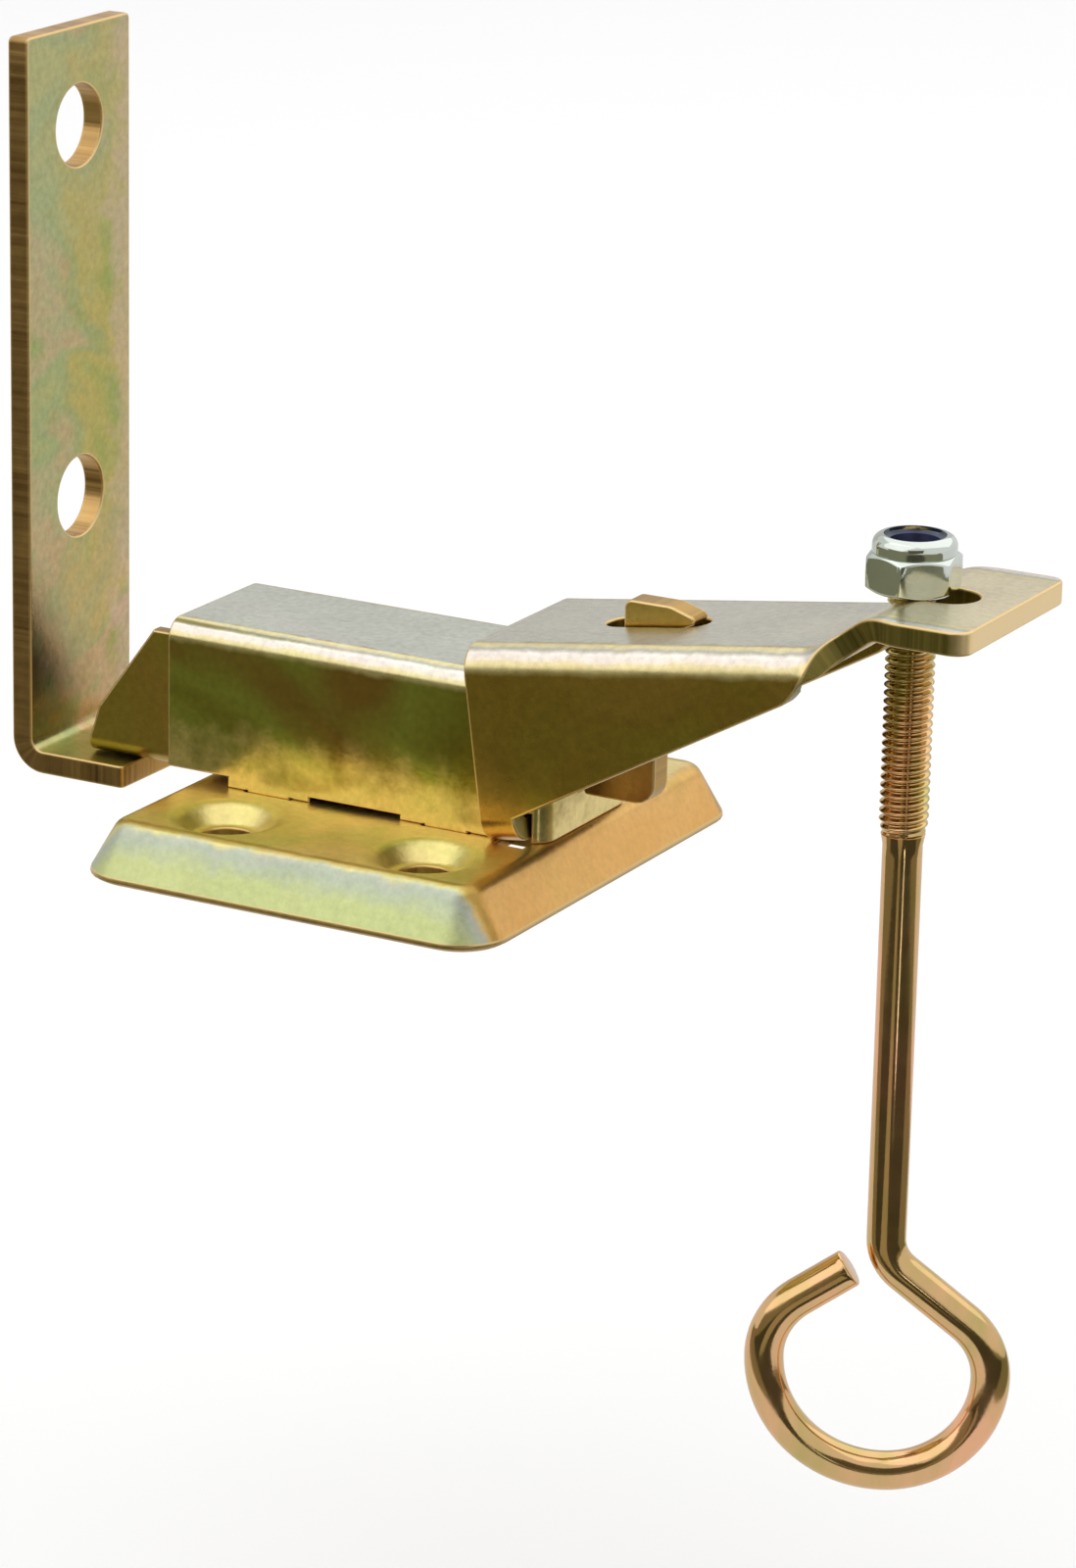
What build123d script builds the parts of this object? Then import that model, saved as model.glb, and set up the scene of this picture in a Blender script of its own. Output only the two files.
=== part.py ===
from build123d import *
from math import atan2, cos, degrees, pi, radians, sin, sqrt, tan
import os

# Frame: the origin is the centre of the base plate's screw pattern, half way through the floor of
# its dimples. X runs along the latch from the strike towards the ring, Y runs across it and Z is up.
# Lengths are millimetres, angles degrees.

# Base plate, a pressed pan
base_length = 56.0
base_width = 66.0
base_rise = 7.0
base_sheet = 1.5
bevel_run = 3.6
base_corner_radius = 6.4
crease_radius = 1.2
screw_spacing_x = 27.0
screw_spacing_y = 41.6
screw_hole_diameter = 6.5
dimple_diameter = 14.4
dimple_floor_diameter = 8.6
dimple_depth = 2.4

# Housing, a folded cover
housing_width = 22.0
housing_height = 19.7
housing_sheet = 1.8
housing_inner_radius = 0.8
housing_corner_radius = 3.0
housing_rear_inset = 4.0
housing_front_height = 1.3
front_foot_start = 8.5
front_foot_length = 11.5
foot_recess_length = 12.4
foot_recess_height = 1.0
stake_tab_length = 6.0
stake_tab_proud = 0.8
end_wall_height = 15.0
top_step_length = 3.0

# Tongue, a folded channel
tongue_sheet = 2.0
tongue_inner_radius = 0.5
tongue_reach = 13.2
tongue_nose_height = 6.3
tongue_nose_run = 2.0
tongue_ramp_run = 7.8
tongue_inner_length = 26.0

# Pull plate, blanked from thick sheet
plate_thickness = 3.6
anchor_length = 18.0
anchor_height = 11.2
anchor_tab_length = 4.5
anchor_tab_margin = 2.5
bar_height = 5.0
bar_rise = 6.0
block_length = 9.3
block_drop = 1.9
block_height = 9.4
block_corner_radius = 2.4
hook_reach = 5.0
hook_width = 7.5
hook_rise = 3.1
hook_nose = 2.0
hook_undercut = 1.9

# Return spring, round the pull plate's bar
spring_wire = 1.2
spring_turns = 9
spring_closed_pitch = 1.75

# Lever, a folded channel that rocks on two bent-in lips
lever_tilt = 8.0
lever_sheet = 2.8
lever_inner_radius = 0.6
lever_top_gap = 1.1
pivot_setback = 5.4
lip_length = 3.2
wall_foot = 1.9
wall_slope = 21.5
wall_length = 41.8
wall_end_run = 8.0
wall_end_sagitta = 1.1
hook_slot_width = 5.2
hook_slot_room_left = 2.9
hook_slot_room_right = 2.7
joggle_lead = 1.6
joggle_run = 7.0
joggle_rise = 5.2
joggle_inner_radius = 1.2
end_plate_length = 12.6
end_corner_radius = 2.2
neck_width = 22.8
neck_run = 4.5
flare_run = 13.0
bolt_slot_width = 6.6
bolt_slot_length = 14.2
bolt_slot_room = 3.2

# Ring bolt and its nut
bolt_reach = 6.55
thread_diameter = 5.8
thread_length = 33.8
shank_diameter = 4.7
bolt_end_chamfer = 0.6
ring_turn = 26.0
shank_drop = 81.8
ring_lead_angle = 51.0
ring_lead_radius = 3.4
ring_lead_length = 12.4
ring_shoulder_radius = 9.0
ring_right_radius = 12.4
ring_left_radius = 14.5
ring_brow_radius = 9.0
ring_brow_angle = 56.0
ring_tail = 7.0
nut_across_flats = 10.0
nut_turn = 39.0
nut_hex_height = 4.4
nut_hex_chamfer = 0.5
nut_height = 6.5
nut_collar_diameter = 9.8
nut_collar_round = 1.2
nut_mouth_diameter = 7.2
insert_outer_diameter = 7.8
insert_inner_diameter = 5.7
insert_height = 1.3
insert_lip = 0.5

# Strike, an angle of flat bar
strike_height = 90.7
strike_width = 22.4
strike_sheet = 2.8
strike_foot_length = 16.0
strike_inner_radius = 1.5
strike_hole_diameter = 10.0
strike_hole_spacing = 46.0
strike_hole_first = 32.6
strike_gap = 6.3

# Clearances between pieces
slide_clearance = 0.25
tongue_lift = 0.3
tongue_headroom = 0.5
seat_clearance = 0.05
tab_clearance = 0.15
lip_clearance = 0.1
lever_clearance = 0.35
stop_gap = 0.2
notch_clearance = 0.3
strike_clearance = 0.2
spring_clearance = 0.3
thread_clearance = 0.05
well_clearance = 0.6
well_lead = 0.4

# Heights and lengths that several pieces share
base_top = dimple_depth + base_sheet / 2
base_bottom = base_top - base_rise
housing_top = base_top + housing_height
housing_front = -base_length / 2
housing_rear = base_length / 2 - housing_rear_inset
end_wall_inside = housing_rear - housing_sheet
housing_half = housing_width / 2
housing_inside_half = housing_half - housing_sheet
tongue_half = housing_inside_half - slide_clearance
tongue_bottom = base_top + tongue_lift
tongue_top = housing_top - housing_sheet - tongue_headroom
web_top = tongue_bottom + tongue_sheet
tongue_rear = housing_front + tongue_inner_length
tongue_front = housing_front - tongue_reach
bar_bottom = base_top + bar_rise
bar_middle = bar_bottom + bar_height / 2
anchor_front = tongue_rear - anchor_length
anchor_tabs = [
    anchor_front + anchor_tab_margin + anchor_tab_length / 2,
    tongue_rear - anchor_tab_margin - anchor_tab_length / 2,
]
block_left = housing_rear + stop_gap
block_right = block_left + block_length
block_bottom = bar_bottom - block_drop
block_top = block_bottom + block_height
hook_left = housing_rear + hook_reach
hook_right = hook_left + hook_width
front_foot_end = housing_front + front_foot_start + front_foot_length
rear_foot_start = front_foot_end + foot_recess_length
foot_top = tongue_bottom - strike_clearance
strike_inside = tongue_front - strike_gap
strike_outside = strike_inside - strike_sheet
strike_bottom = foot_top - strike_sheet

# Lever frame: its axis runs along Y through the round of the lips, u along the lever, w square to it
lip_radius = lever_sheet / 2
pivot_x = housing_rear - pivot_setback
pivot_z = base_top + lip_clearance + lip_radius
tilt_cos = cos(radians(lever_tilt))
tilt_sin = sin(radians(lever_tilt))
along_lever = (tilt_cos, 0, tilt_sin)
over_lever = (-tilt_sin, 0, tilt_cos)
lever_under = (housing_top + lever_top_gap - pivot_z + lip_radius * tilt_sin) / tilt_cos
lever_top = lever_under + lever_sheet
lever_inside_half = housing_half + lever_clearance
lever_half = lever_inside_half + lever_sheet
lever_bend_radius = lever_sheet + lever_inner_radius
lever_flat_half = lever_half - lever_bend_radius
lip_inside_half = housing_inside_half - notch_clearance
notch_front = pivot_x - lip_radius - lip_clearance
notch_rear = pivot_x + lip_length + notch_clearance
notch_height = lip_clearance + lever_sheet + lip_length * tilt_sin + notch_clearance


def lever_u(x, w):
    """Place along the lever, at height w over its axis, of the point whose X is x."""
    return (x - pivot_x + w * tilt_sin) / tilt_cos


def lever_point(u, w):
    """X and Z of the lever's point (u, w)."""
    return pivot_x + u * tilt_cos - w * tilt_sin, pivot_z + u * tilt_sin + w * tilt_cos


hook_top = lever_point(lever_u(hook_left, lever_top), lever_top)[1] + hook_rise
wall_end_x, wall_end_z = lever_point(wall_length, lever_top)
joggle_x, joggle_z = lever_point(wall_length + joggle_lead, lever_top)
end_plate_start = joggle_x + joggle_run
end_plate_end = end_plate_start + end_plate_length
end_plate_top = joggle_z + joggle_rise
bolt_x = joggle_x + bolt_reach

os.makedirs("parts", exist_ok=True)

# Base plate: the pan, its dimples and screw holes, the stake slots and the wells below the lips
bevel_angle = degrees(atan2(bevel_run, base_rise))
bevel_offset = base_sheet / cos(radians(bevel_angle))
wall_middle = housing_half - housing_sheet / 2
stake_places = [
    (x, y)
    for x in (front_foot_end - front_foot_length / 2, (rear_foot_start + notch_front) / 2)
    for y in (-wall_middle, wall_middle)
]
screw_places = [
    (x, y)
    for x in (-screw_spacing_x / 2, screw_spacing_x / 2)
    for y in (-screw_spacing_y / 2, screw_spacing_y / 2)
]
well_outside = lever_half - lever_bend_radius / 4 + well_clearance
well_middle = (well_outside + lip_inside_half - well_clearance) / 2
with BuildPart() as base_plate:
    with BuildSketch(Plane.XY.offset(base_bottom)):
        RectangleRounded(base_length, base_width, base_corner_radius)
    extrude(amount=base_rise, taper=bevel_angle)
    fillet(base_plate.faces().sort_by(Axis.Z)[-1].edges(), radius=crease_radius)
    with BuildSketch(Plane.XY.offset(base_bottom)):
        RectangleRounded(
            base_length - 2 * bevel_offset,
            base_width - 2 * bevel_offset,
            base_corner_radius - bevel_offset,
        )
    extrude(amount=base_rise - base_sheet, taper=bevel_angle, mode=Mode.SUBTRACT)
    with Locations(*[(x, y, base_top - base_sheet) for x, y in screw_places]):
        Cone(
            dimple_floor_diameter / 2,
            dimple_diameter / 2,
            dimple_depth,
            align=(Align.CENTER, Align.CENTER, Align.MAX),
        )
    with Locations(*[(x, y, base_top) for x, y in screw_places]):
        Cone(
            dimple_floor_diameter / 2,
            dimple_diameter / 2,
            dimple_depth,
            align=(Align.CENTER, Align.CENTER, Align.MAX),
            mode=Mode.SUBTRACT,
        )
    with BuildSketch(Plane.XY.offset(base_top)):
        with Locations(*screw_places):
            Circle(screw_hole_diameter / 2)
        with Locations(*stake_places):
            Rectangle(stake_tab_length + 2 * tab_clearance, housing_sheet + 2 * tab_clearance)
        with Locations((pivot_x - well_lead, -well_middle), (pivot_x - well_lead, well_middle)):
            Rectangle(
                well_lead + lip_length + well_clearance,
                well_outside - lip_inside_half + well_clearance,
                align=(Align.MIN, Align.CENTER),
            )
    extrude(amount=-base_rise, mode=Mode.SUBTRACT)
base_plate.part.label = "base_plate"
export_step(base_plate.part, "parts/base_plate.step")

# Housing: a cover with rounded bends, an end wall notched for the bar, feet and stake tabs
with BuildPart() as housing:
    with BuildSketch(Plane.XY.offset(base_top)):
        with Locations(((housing_front + housing_rear) / 2, 0)):
            Rectangle(housing_rear - housing_front, housing_width)
    extrude(amount=housing_height)
    upright = housing.edges().filter_by(Axis.Z).group_by(Axis.X)[-1]
    fillet(upright, radius=housing_corner_radius)
    ridge = housing.edges().filter_by(Axis.X).group_by(Axis.Z)[-1]
    fillet(ridge, radius=housing_inner_radius + housing_sheet)
    with BuildSketch(Plane.YZ.offset(housing_front)) as hollow:
        with Locations((0, base_top)):
            Rectangle(
                2 * housing_inside_half,
                housing_height - housing_sheet,
                align=(Align.CENTER, Align.MIN),
            )
        fillet(hollow.vertices().group_by(Axis.Y)[-1], radius=housing_inner_radius)
    extrude(amount=end_wall_inside - housing_front, mode=Mode.SUBTRACT)
    with BuildSketch(Plane.XZ):
        with Locations((housing_rear, base_top + end_wall_height)):
            Rectangle(top_step_length, housing_height, align=(Align.MAX, Align.MIN))
        with Locations((housing_front, base_top)):
            Rectangle(front_foot_start, 2 * housing_front_height, align=(Align.MIN, Align.CENTER))
        with Locations((front_foot_end, base_top)):
            Rectangle(foot_recess_length, 2 * foot_recess_height, align=(Align.MIN, Align.CENTER))
        with Locations((notch_front, base_top)):
            Rectangle(
                notch_rear - notch_front, 2 * notch_height, align=(Align.MIN, Align.CENTER)
            )
    extrude(amount=housing_width, both=True, mode=Mode.SUBTRACT)
    with BuildSketch(Plane.YZ.offset(housing_rear)):
        with Locations((0, bar_bottom - notch_clearance)):
            Rectangle(
                plate_thickness + 2 * notch_clearance,
                housing_height,
                align=(Align.CENTER, Align.MIN),
            )
    extrude(amount=-housing_sheet, mode=Mode.SUBTRACT)
    with BuildSketch(Plane.XY.offset(base_top)):
        with Locations(*stake_places):
            Rectangle(stake_tab_length, housing_sheet)
    extrude(amount=-(base_sheet + stake_tab_proud))
housing.part.label = "housing"
export_step(housing.part, "parts/housing.step")

# Tongue: a channel whose walls slope back from the nose, with slots for the pull plate's tabs
ramp_start = tongue_front + tongue_nose_run
with BuildPart() as latch_tongue:
    with BuildSketch(Plane.XZ):
        with BuildLine():
            Polyline(
                (tongue_rear, tongue_bottom),
                (tongue_front, tongue_bottom),
                (ramp_start, tongue_bottom + tongue_nose_height),
                (ramp_start + tongue_ramp_run, tongue_top),
                (tongue_rear, tongue_top),
                close=True,
            )
        make_face()
    extrude(amount=tongue_half, both=True)
    keel = latch_tongue.edges().filter_by(Axis.X).group_by(Axis.Z)[0]
    fillet(keel, radius=tongue_inner_radius + tongue_sheet)
    with BuildSketch(Plane.YZ.offset(tongue_front)) as channel:
        with Locations((0, web_top)):
            Rectangle(
                2 * (tongue_half - tongue_sheet),
                tongue_top - web_top,
                align=(Align.CENTER, Align.MIN),
            )
        fillet(channel.vertices().group_by(Axis.Y)[0], radius=tongue_inner_radius)
    extrude(amount=tongue_rear - tongue_front, mode=Mode.SUBTRACT)
    with BuildSketch(Plane.XY.offset(web_top)):
        with Locations(*[(x, 0) for x in anchor_tabs]):
            Rectangle(
                anchor_tab_length + 2 * seat_clearance, plate_thickness + 2 * seat_clearance
            )
    extrude(amount=-tongue_sheet, mode=Mode.SUBTRACT)
latch_tongue.part.label = "latch_tongue"
export_step(latch_tongue.part, "parts/latch_tongue.step")

# Pull plate: anchor in the tongue, bar through the spring, stop block and hook
with BuildPart() as pull_plate:
    with BuildSketch(Plane.XZ) as blank:
        with Locations((tongue_rear, web_top)):
            Rectangle(anchor_length, anchor_height, align=(Align.MAX, Align.MIN))
        with Locations(*[(x, web_top) for x in anchor_tabs]):
            Rectangle(anchor_tab_length, tongue_sheet, align=(Align.CENTER, Align.MAX))
        with Locations((tongue_rear, bar_bottom)):
            Rectangle(block_left - tongue_rear, bar_height, align=(Align.MIN, Align.MIN))
        with BuildLine():
            Polyline(
                (block_left, block_bottom),
                (block_right, block_bottom),
                (block_right, block_top - hook_nose),
                (hook_right, block_top + hook_nose),
                (hook_right, hook_top - hook_undercut),
                (hook_right + hook_nose, hook_top),
                (hook_left, hook_top),
                (hook_left, block_top),
                (block_left, block_top),
                close=True,
            )
        make_face()
        tail_corner = blank.vertices().sort_by_distance((block_right, 0, block_bottom))[0]
        fillet(tail_corner, radius=block_corner_radius)
    extrude(amount=plate_thickness / 2, both=True)
pull_plate.part.label = "pull_plate"
export_step(pull_plate.part, "parts/pull_plate.step")

# Return spring: closed end turns and open turns between, as one wire of tangent arcs
spring_radius = sqrt(plate_thickness**2 + bar_height**2) / 2 + spring_clearance + spring_wire / 2
spring_start = tongue_rear + spring_wire / 2 + seat_clearance
spring_end = end_wall_inside - spring_wire / 2 - seat_clearance
open_pitch = (spring_end - spring_start - 2 * spring_closed_pitch) / (spring_turns - 2)


def spring_pitch(turn):
    """Advance along X per turn, at this turn of the spring."""
    return open_pitch if 1 <= turn < spring_turns - 1 else spring_closed_pitch


def spring_point(turn):
    """Point of the wire's middle line after this many turns."""
    closed = min(turn, 1) + max(0, turn - spring_turns + 1)
    advance = closed * spring_closed_pitch + (turn - closed) * open_pitch
    across = spring_radius * sin(2 * pi * turn)
    rise = spring_radius * cos(2 * pi * turn)
    return Vector(spring_start + advance, across, bar_middle + rise)


def spring_heading(turn):
    """Direction of the wire after this many turns."""
    pitch = (spring_pitch(turn - 1 / 8) + spring_pitch(turn + 1 / 8)) / 2
    circuit = 2 * pi * spring_radius
    across = circuit * cos(2 * pi * turn)
    rise = -circuit * sin(2 * pi * turn)
    return Vector(pitch, across, rise).normalized()


with BuildPart() as return_spring:
    with BuildLine() as wire_line:
        for quarter in range(4 * spring_turns):
            start = spring_point(quarter / 4)
            finish = spring_point((quarter + 1) / 4)
            lead = spring_heading(quarter / 4)
            trail = spring_heading((quarter + 1) / 4)
            chord = finish - start
            run = chord.dot(lead + trail)
            slack = 1 - lead.dot(trail)
            reach = (sqrt(run**2 + 2 * slack * chord.dot(chord)) - run) / (2 * slack)
            middle = (start + finish + (lead - trail) * reach) * (1 / 2)
            TangentArc(start, middle, tangent=lead)
            TangentArc(middle, finish, tangent=chord - (lead + trail) * reach)
    with BuildSketch(Plane(origin=spring_point(0), z_dir=spring_heading(0))):
        Circle(spring_wire / 2)
    sweep(path=wire_line.line)
return_spring.part.label = "return_spring"
export_step(return_spring.part, "parts/return_spring.step")

samples_per_turn = 12
wire_samples = [
    spring_point(step / samples_per_turn) for step in range(samples_per_turn * spring_turns + 1)
]
turn_gaps = [
    (wire_samples[later] - wire_samples[earlier]).length - spring_wire
    for earlier in range(len(wire_samples))
    for later in range(earlier + samples_per_turn // 2, len(wire_samples))
]
print(f"return_spring least gap to itself: {min(turn_gaps):.2f} mm")

# Lever: the channel, the lips it rocks on and the hook slot, then the raised end plate
lever_plane = Plane(origin=(pivot_x, 0, pivot_z), x_dir=along_lever, z_dir=(0, -1, 0))
left_x, left_z = lever_point(-lip_radius, 0)
section_plane = Plane(origin=(left_x, 0, left_z), x_dir=(0, 1, 0), z_dir=along_lever)
crown_x, crown_z = lever_point(0, lever_top)
crown_plane = Plane(origin=(crown_x, 0, crown_z), x_dir=along_lever, z_dir=over_lever)
wall_corner = wall_length - wall_end_run
wall_corner_height = wall_foot + (wall_corner - lip_length) * tan(radians(wall_slope))
hook_slot_left = lever_u(hook_left, lever_top) - hook_slot_room_left
hook_slot_right = lever_u(hook_right, lever_top) + hook_slot_room_right
lever_axis = Axis((pivot_x, 0, pivot_z), along_lever)
lever_height_axis = Axis((pivot_x, 0, pivot_z), over_lever)
bolt_slot_front = bolt_x - thread_diameter / 2 - bolt_slot_room
with BuildPart() as lever:
    with BuildSketch(lever_plane):
        with BuildLine():
            Line((-lip_radius, lever_top), (-lip_radius, 0))
            CenterArc((0, 0), lip_radius, 180, 90)
            Polyline(
                (0, -lip_radius),
                (lip_length, -lip_radius),
                (lip_length, wall_foot),
                (wall_corner, wall_corner_height),
            )
            SagittaArc(
                (wall_corner, wall_corner_height),
                (wall_length, lever_top - lever_bend_radius),
                -wall_end_sagitta,
            )
            Polyline(
                (wall_length, lever_top - lever_bend_radius),
                (wall_length, lever_top),
                (-lip_radius, lever_top),
            )
        make_face()
    extrude(amount=lever_half, both=True)
    ridge = lever.edges().filter_by(lever_axis).group_by(lever_height_axis)[-1]
    fillet(ridge, radius=lever_bend_radius)
    with BuildSketch(section_plane) as inside:
        with Locations((0, lip_radius)):
            Rectangle(
                2 * lever_inside_half, lever_under - lip_radius, align=(Align.CENTER, Align.MIN)
            )
        top_corners = inside.vertices().group_by(lever_height_axis)[-1]
        fillet(top_corners, radius=lever_inner_radius)
        with Locations((0, -lip_radius)):
            Rectangle(2 * lip_inside_half, lever_under, align=(Align.CENTER, Align.MIN))
    extrude(amount=wall_length + lip_radius, mode=Mode.SUBTRACT)
    with BuildSketch(lever_plane):
        with Locations((-lip_radius, 0)):
            Rectangle(lip_radius, lip_radius, align=(Align.MIN, Align.MIN))
        Circle(lip_radius, mode=Mode.SUBTRACT)
    extrude(amount=lever_inside_half, both=True, mode=Mode.SUBTRACT)
    with BuildSketch(section_plane):
        bend_height = lever_bend_radius - lip_radius
        with Locations((-lever_flat_half, bend_height)):
            Rectangle(lever_bend_radius, lever_bend_radius, align=(Align.MAX, Align.MAX))
        with Locations((lever_flat_half, bend_height)):
            Rectangle(lever_bend_radius, lever_bend_radius, align=(Align.MIN, Align.MAX))
        with Locations((-lever_flat_half, bend_height), (lever_flat_half, bend_height)):
            Circle(lever_bend_radius, mode=Mode.SUBTRACT)
    extrude(amount=lip_length + lip_radius, mode=Mode.SUBTRACT)
    with BuildSketch(crown_plane):
        with Locations(((hook_slot_left + hook_slot_right) / 2, 0)):
            SlotOverall(hook_slot_right - hook_slot_left, hook_slot_width)
    extrude(amount=-lever_sheet, mode=Mode.SUBTRACT)
    with BuildSketch(Plane.XZ):
        with BuildLine():
            FilletPolyline(
                (wall_end_x, wall_end_z),
                (joggle_x, joggle_z),
                (end_plate_start, end_plate_top),
                (end_plate_end, end_plate_top),
                radius=joggle_inner_radius + lever_sheet,
            )
            offset(amount=lever_sheet, side=Side.RIGHT)
        make_face()
    extrude(amount=lever_half, both=True)
    with BuildSketch(Plane.XY.offset(base_bottom)) as outline:
        with BuildLine():
            Polyline(
                (housing_front, 0),
                (housing_front, lever_half),
                (wall_end_x, lever_half),
                (wall_end_x, lever_flat_half),
            )
            ThreePointArc(
                (wall_end_x, lever_flat_half),
                (wall_end_x + neck_run, neck_width / 2),
                (wall_end_x + flare_run, lever_half),
            )
            Polyline(
                (wall_end_x + flare_run, lever_half),
                (end_plate_end, lever_half),
                (end_plate_end, 0),
            )
            mirror(about=Plane.XZ)
        make_face()
        fillet(outline.vertices().group_by(Axis.X)[-1], radius=end_corner_radius)
    extrude(amount=end_plate_top - base_bottom, mode=Mode.INTERSECT)
    with BuildSketch(Plane.XY.offset(end_plate_top)):
        with Locations((bolt_slot_front + bolt_slot_length / 2, 0)):
            SlotOverall(bolt_slot_length, bolt_slot_width)
    extrude(amount=-(joggle_rise + 2 * lever_sheet), mode=Mode.SUBTRACT)
lever.part.label = "lever"
export_step(lever.part, "parts/lever.step")

# Lock nut: hexagon with turned chamfers, and a collar crimped over the insert
bolt_axis = Axis((bolt_x, 0, 0), (0, 0, 1))
nut_bottom = end_plate_top + seat_clearance
nut_hex_top = nut_bottom + nut_hex_height
nut_top = nut_bottom + nut_height
nut_corner_radius = nut_across_flats / sqrt(3)
nut_chamfer_radius = nut_corner_radius - nut_hex_chamfer * sqrt(3)
insert_top = nut_top - insert_lip
insert_bottom = insert_top - insert_height
with BuildPart() as lock_nut:
    with BuildSketch(Plane.XY.offset(nut_bottom)):
        with Locations((bolt_x, 0)):
            RegularPolygon(nut_across_flats / 2, 6, major_radius=False, rotation=nut_turn)
    extrude(amount=nut_hex_height)
    with BuildSketch(Plane.XZ):
        with BuildLine():
            Polyline(
                (bolt_x, nut_bottom),
                (bolt_x + nut_chamfer_radius, nut_bottom),
                (bolt_x + nut_corner_radius, nut_bottom + nut_hex_chamfer),
                (bolt_x + nut_corner_radius, nut_hex_top - nut_hex_chamfer),
                (bolt_x + nut_chamfer_radius, nut_hex_top),
                (bolt_x, nut_hex_top),
                close=True,
            )
        make_face()
    revolve(axis=bolt_axis, mode=Mode.INTERSECT)
    with BuildSketch(Plane.XY.offset(nut_hex_top)):
        with Locations((bolt_x, 0)):
            Circle(nut_collar_diameter / 2)
    extrude(amount=nut_height - nut_hex_height)
    fillet(lock_nut.faces().sort_by(Axis.Z)[-1].edges(), radius=nut_collar_round)
    with BuildSketch(Plane.XY.offset(nut_bottom)):
        with Locations((bolt_x, 0)):
            Circle(thread_diameter / 2 + thread_clearance)
    extrude(amount=nut_height, mode=Mode.SUBTRACT)
    with BuildSketch(Plane.XY.offset(insert_bottom - seat_clearance)):
        with Locations((bolt_x, 0)):
            Circle(insert_outer_diameter / 2 + seat_clearance)
    extrude(amount=insert_height + 2 * seat_clearance, mode=Mode.SUBTRACT)
    with BuildSketch(Plane.XY.offset(insert_top)):
        with Locations((bolt_x, 0)):
            Circle(nut_mouth_diameter / 2)
    extrude(amount=insert_lip, mode=Mode.SUBTRACT)
lock_nut.part.label = "lock_nut"
export_step(lock_nut.part, "parts/lock_nut.step")

with BuildPart() as nut_insert:
    with BuildSketch(Plane.XY.offset(insert_bottom)):
        with Locations((bolt_x, 0)):
            Circle(insert_outer_diameter / 2)
            Circle(insert_inner_diameter / 2, mode=Mode.SUBTRACT)
    extrude(amount=insert_height)
nut_insert.part.label = "nut_insert"
export_step(nut_insert.part, "parts/nut_insert.step")

# Ring bolt: threaded end, then a thinner shank that bends aside and round to an open ring
thread_top = insert_bottom - seat_clearance
thread_bottom = thread_top - thread_length
lead_corner = end_plate_top - shank_drop
lead_cut = ring_lead_radius * tan(radians(ring_lead_angle / 2))
quarter_turn = 90
turn_cos = cos(radians(ring_turn))
turn_sin = sin(radians(ring_turn))
ring_plane = Plane(
    origin=(bolt_x, 0, 0), x_dir=(turn_cos, turn_sin, 0), z_dir=(turn_sin, -turn_cos, 0)
)
with BuildPart() as eye_bolt:
    with BuildLine(ring_plane) as rod_line:
        shank = Line((0, thread_bottom), (0, lead_corner + lead_cut))
        lead = JernArc(shank @ 1, shank % 1, ring_lead_radius, ring_lead_angle)
        slant = PolarLine(lead @ 1, ring_lead_length - lead_cut, direction=lead % 1)
        shoulder = JernArc(slant @ 1, slant % 1, ring_shoulder_radius, -ring_lead_angle)
        right = JernArc(shoulder @ 1, shoulder % 1, ring_right_radius, -quarter_turn)
        left = JernArc(right @ 1, right % 1, ring_left_radius, -quarter_turn)
        brow = JernArc(left @ 1, left % 1, ring_brow_radius, -ring_brow_angle)
        PolarLine(brow @ 1, ring_tail, direction=brow % 1)
    with BuildSketch(Plane(origin=(bolt_x, 0, thread_bottom), z_dir=(0, 0, -1))):
        Circle(shank_diameter / 2)
    sweep(path=rod_line.line)
    with BuildSketch(Plane.XZ):
        with BuildLine():
            Polyline(
                (bolt_x, thread_bottom),
                (bolt_x + shank_diameter / 2, thread_bottom),
                (bolt_x + thread_diameter / 2, thread_bottom + bolt_end_chamfer),
                (bolt_x + thread_diameter / 2, thread_top - bolt_end_chamfer),
                (bolt_x + thread_diameter / 2 - bolt_end_chamfer, thread_top),
                (bolt_x, thread_top),
                close=True,
            )
        make_face()
    revolve(axis=bolt_axis)
eye_bolt.part.label = "eye_bolt"
export_step(eye_bolt.part, "parts/eye_bolt.step")

# Strike: an angle with a short foot under the tongue and two holes in its upright leg
with BuildPart() as strike:
    with BuildSketch(Plane.XZ) as angle:
        with BuildLine():
            Polyline(
                (strike_outside, strike_bottom),
                (strike_outside + strike_foot_length, strike_bottom),
                (strike_outside + strike_foot_length, foot_top),
                (strike_inside, foot_top),
                (strike_inside, strike_bottom + strike_height),
                (strike_outside, strike_bottom + strike_height),
                close=True,
            )
        make_face()
        heel = angle.vertices().sort_by_distance((strike_outside, 0, strike_bottom))[0]
        crook = angle.vertices().sort_by_distance((strike_inside, 0, foot_top))[0]
        fillet(heel, radius=strike_inner_radius + strike_sheet)
        fillet(crook, radius=strike_inner_radius)
    extrude(amount=strike_width / 2, both=True)
    with BuildSketch(Plane.YZ.offset(strike_outside)):
        with Locations(
            (0, strike_bottom + strike_hole_first),
            (0, strike_bottom + strike_hole_first + strike_hole_spacing),
        ):
            Circle(strike_hole_diameter / 2)
    extrude(amount=strike_sheet, mode=Mode.SUBTRACT)
strike.part.label = "strike"
export_step(strike.part, "parts/strike.step")
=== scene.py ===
import logging
import math
from collections.abc import Callable
from dataclasses import dataclass
from enum import Enum, IntEnum
from typing import ClassVar, Protocol

import bpy
import numpy as np
from mathutils import Matrix, Vector


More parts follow.
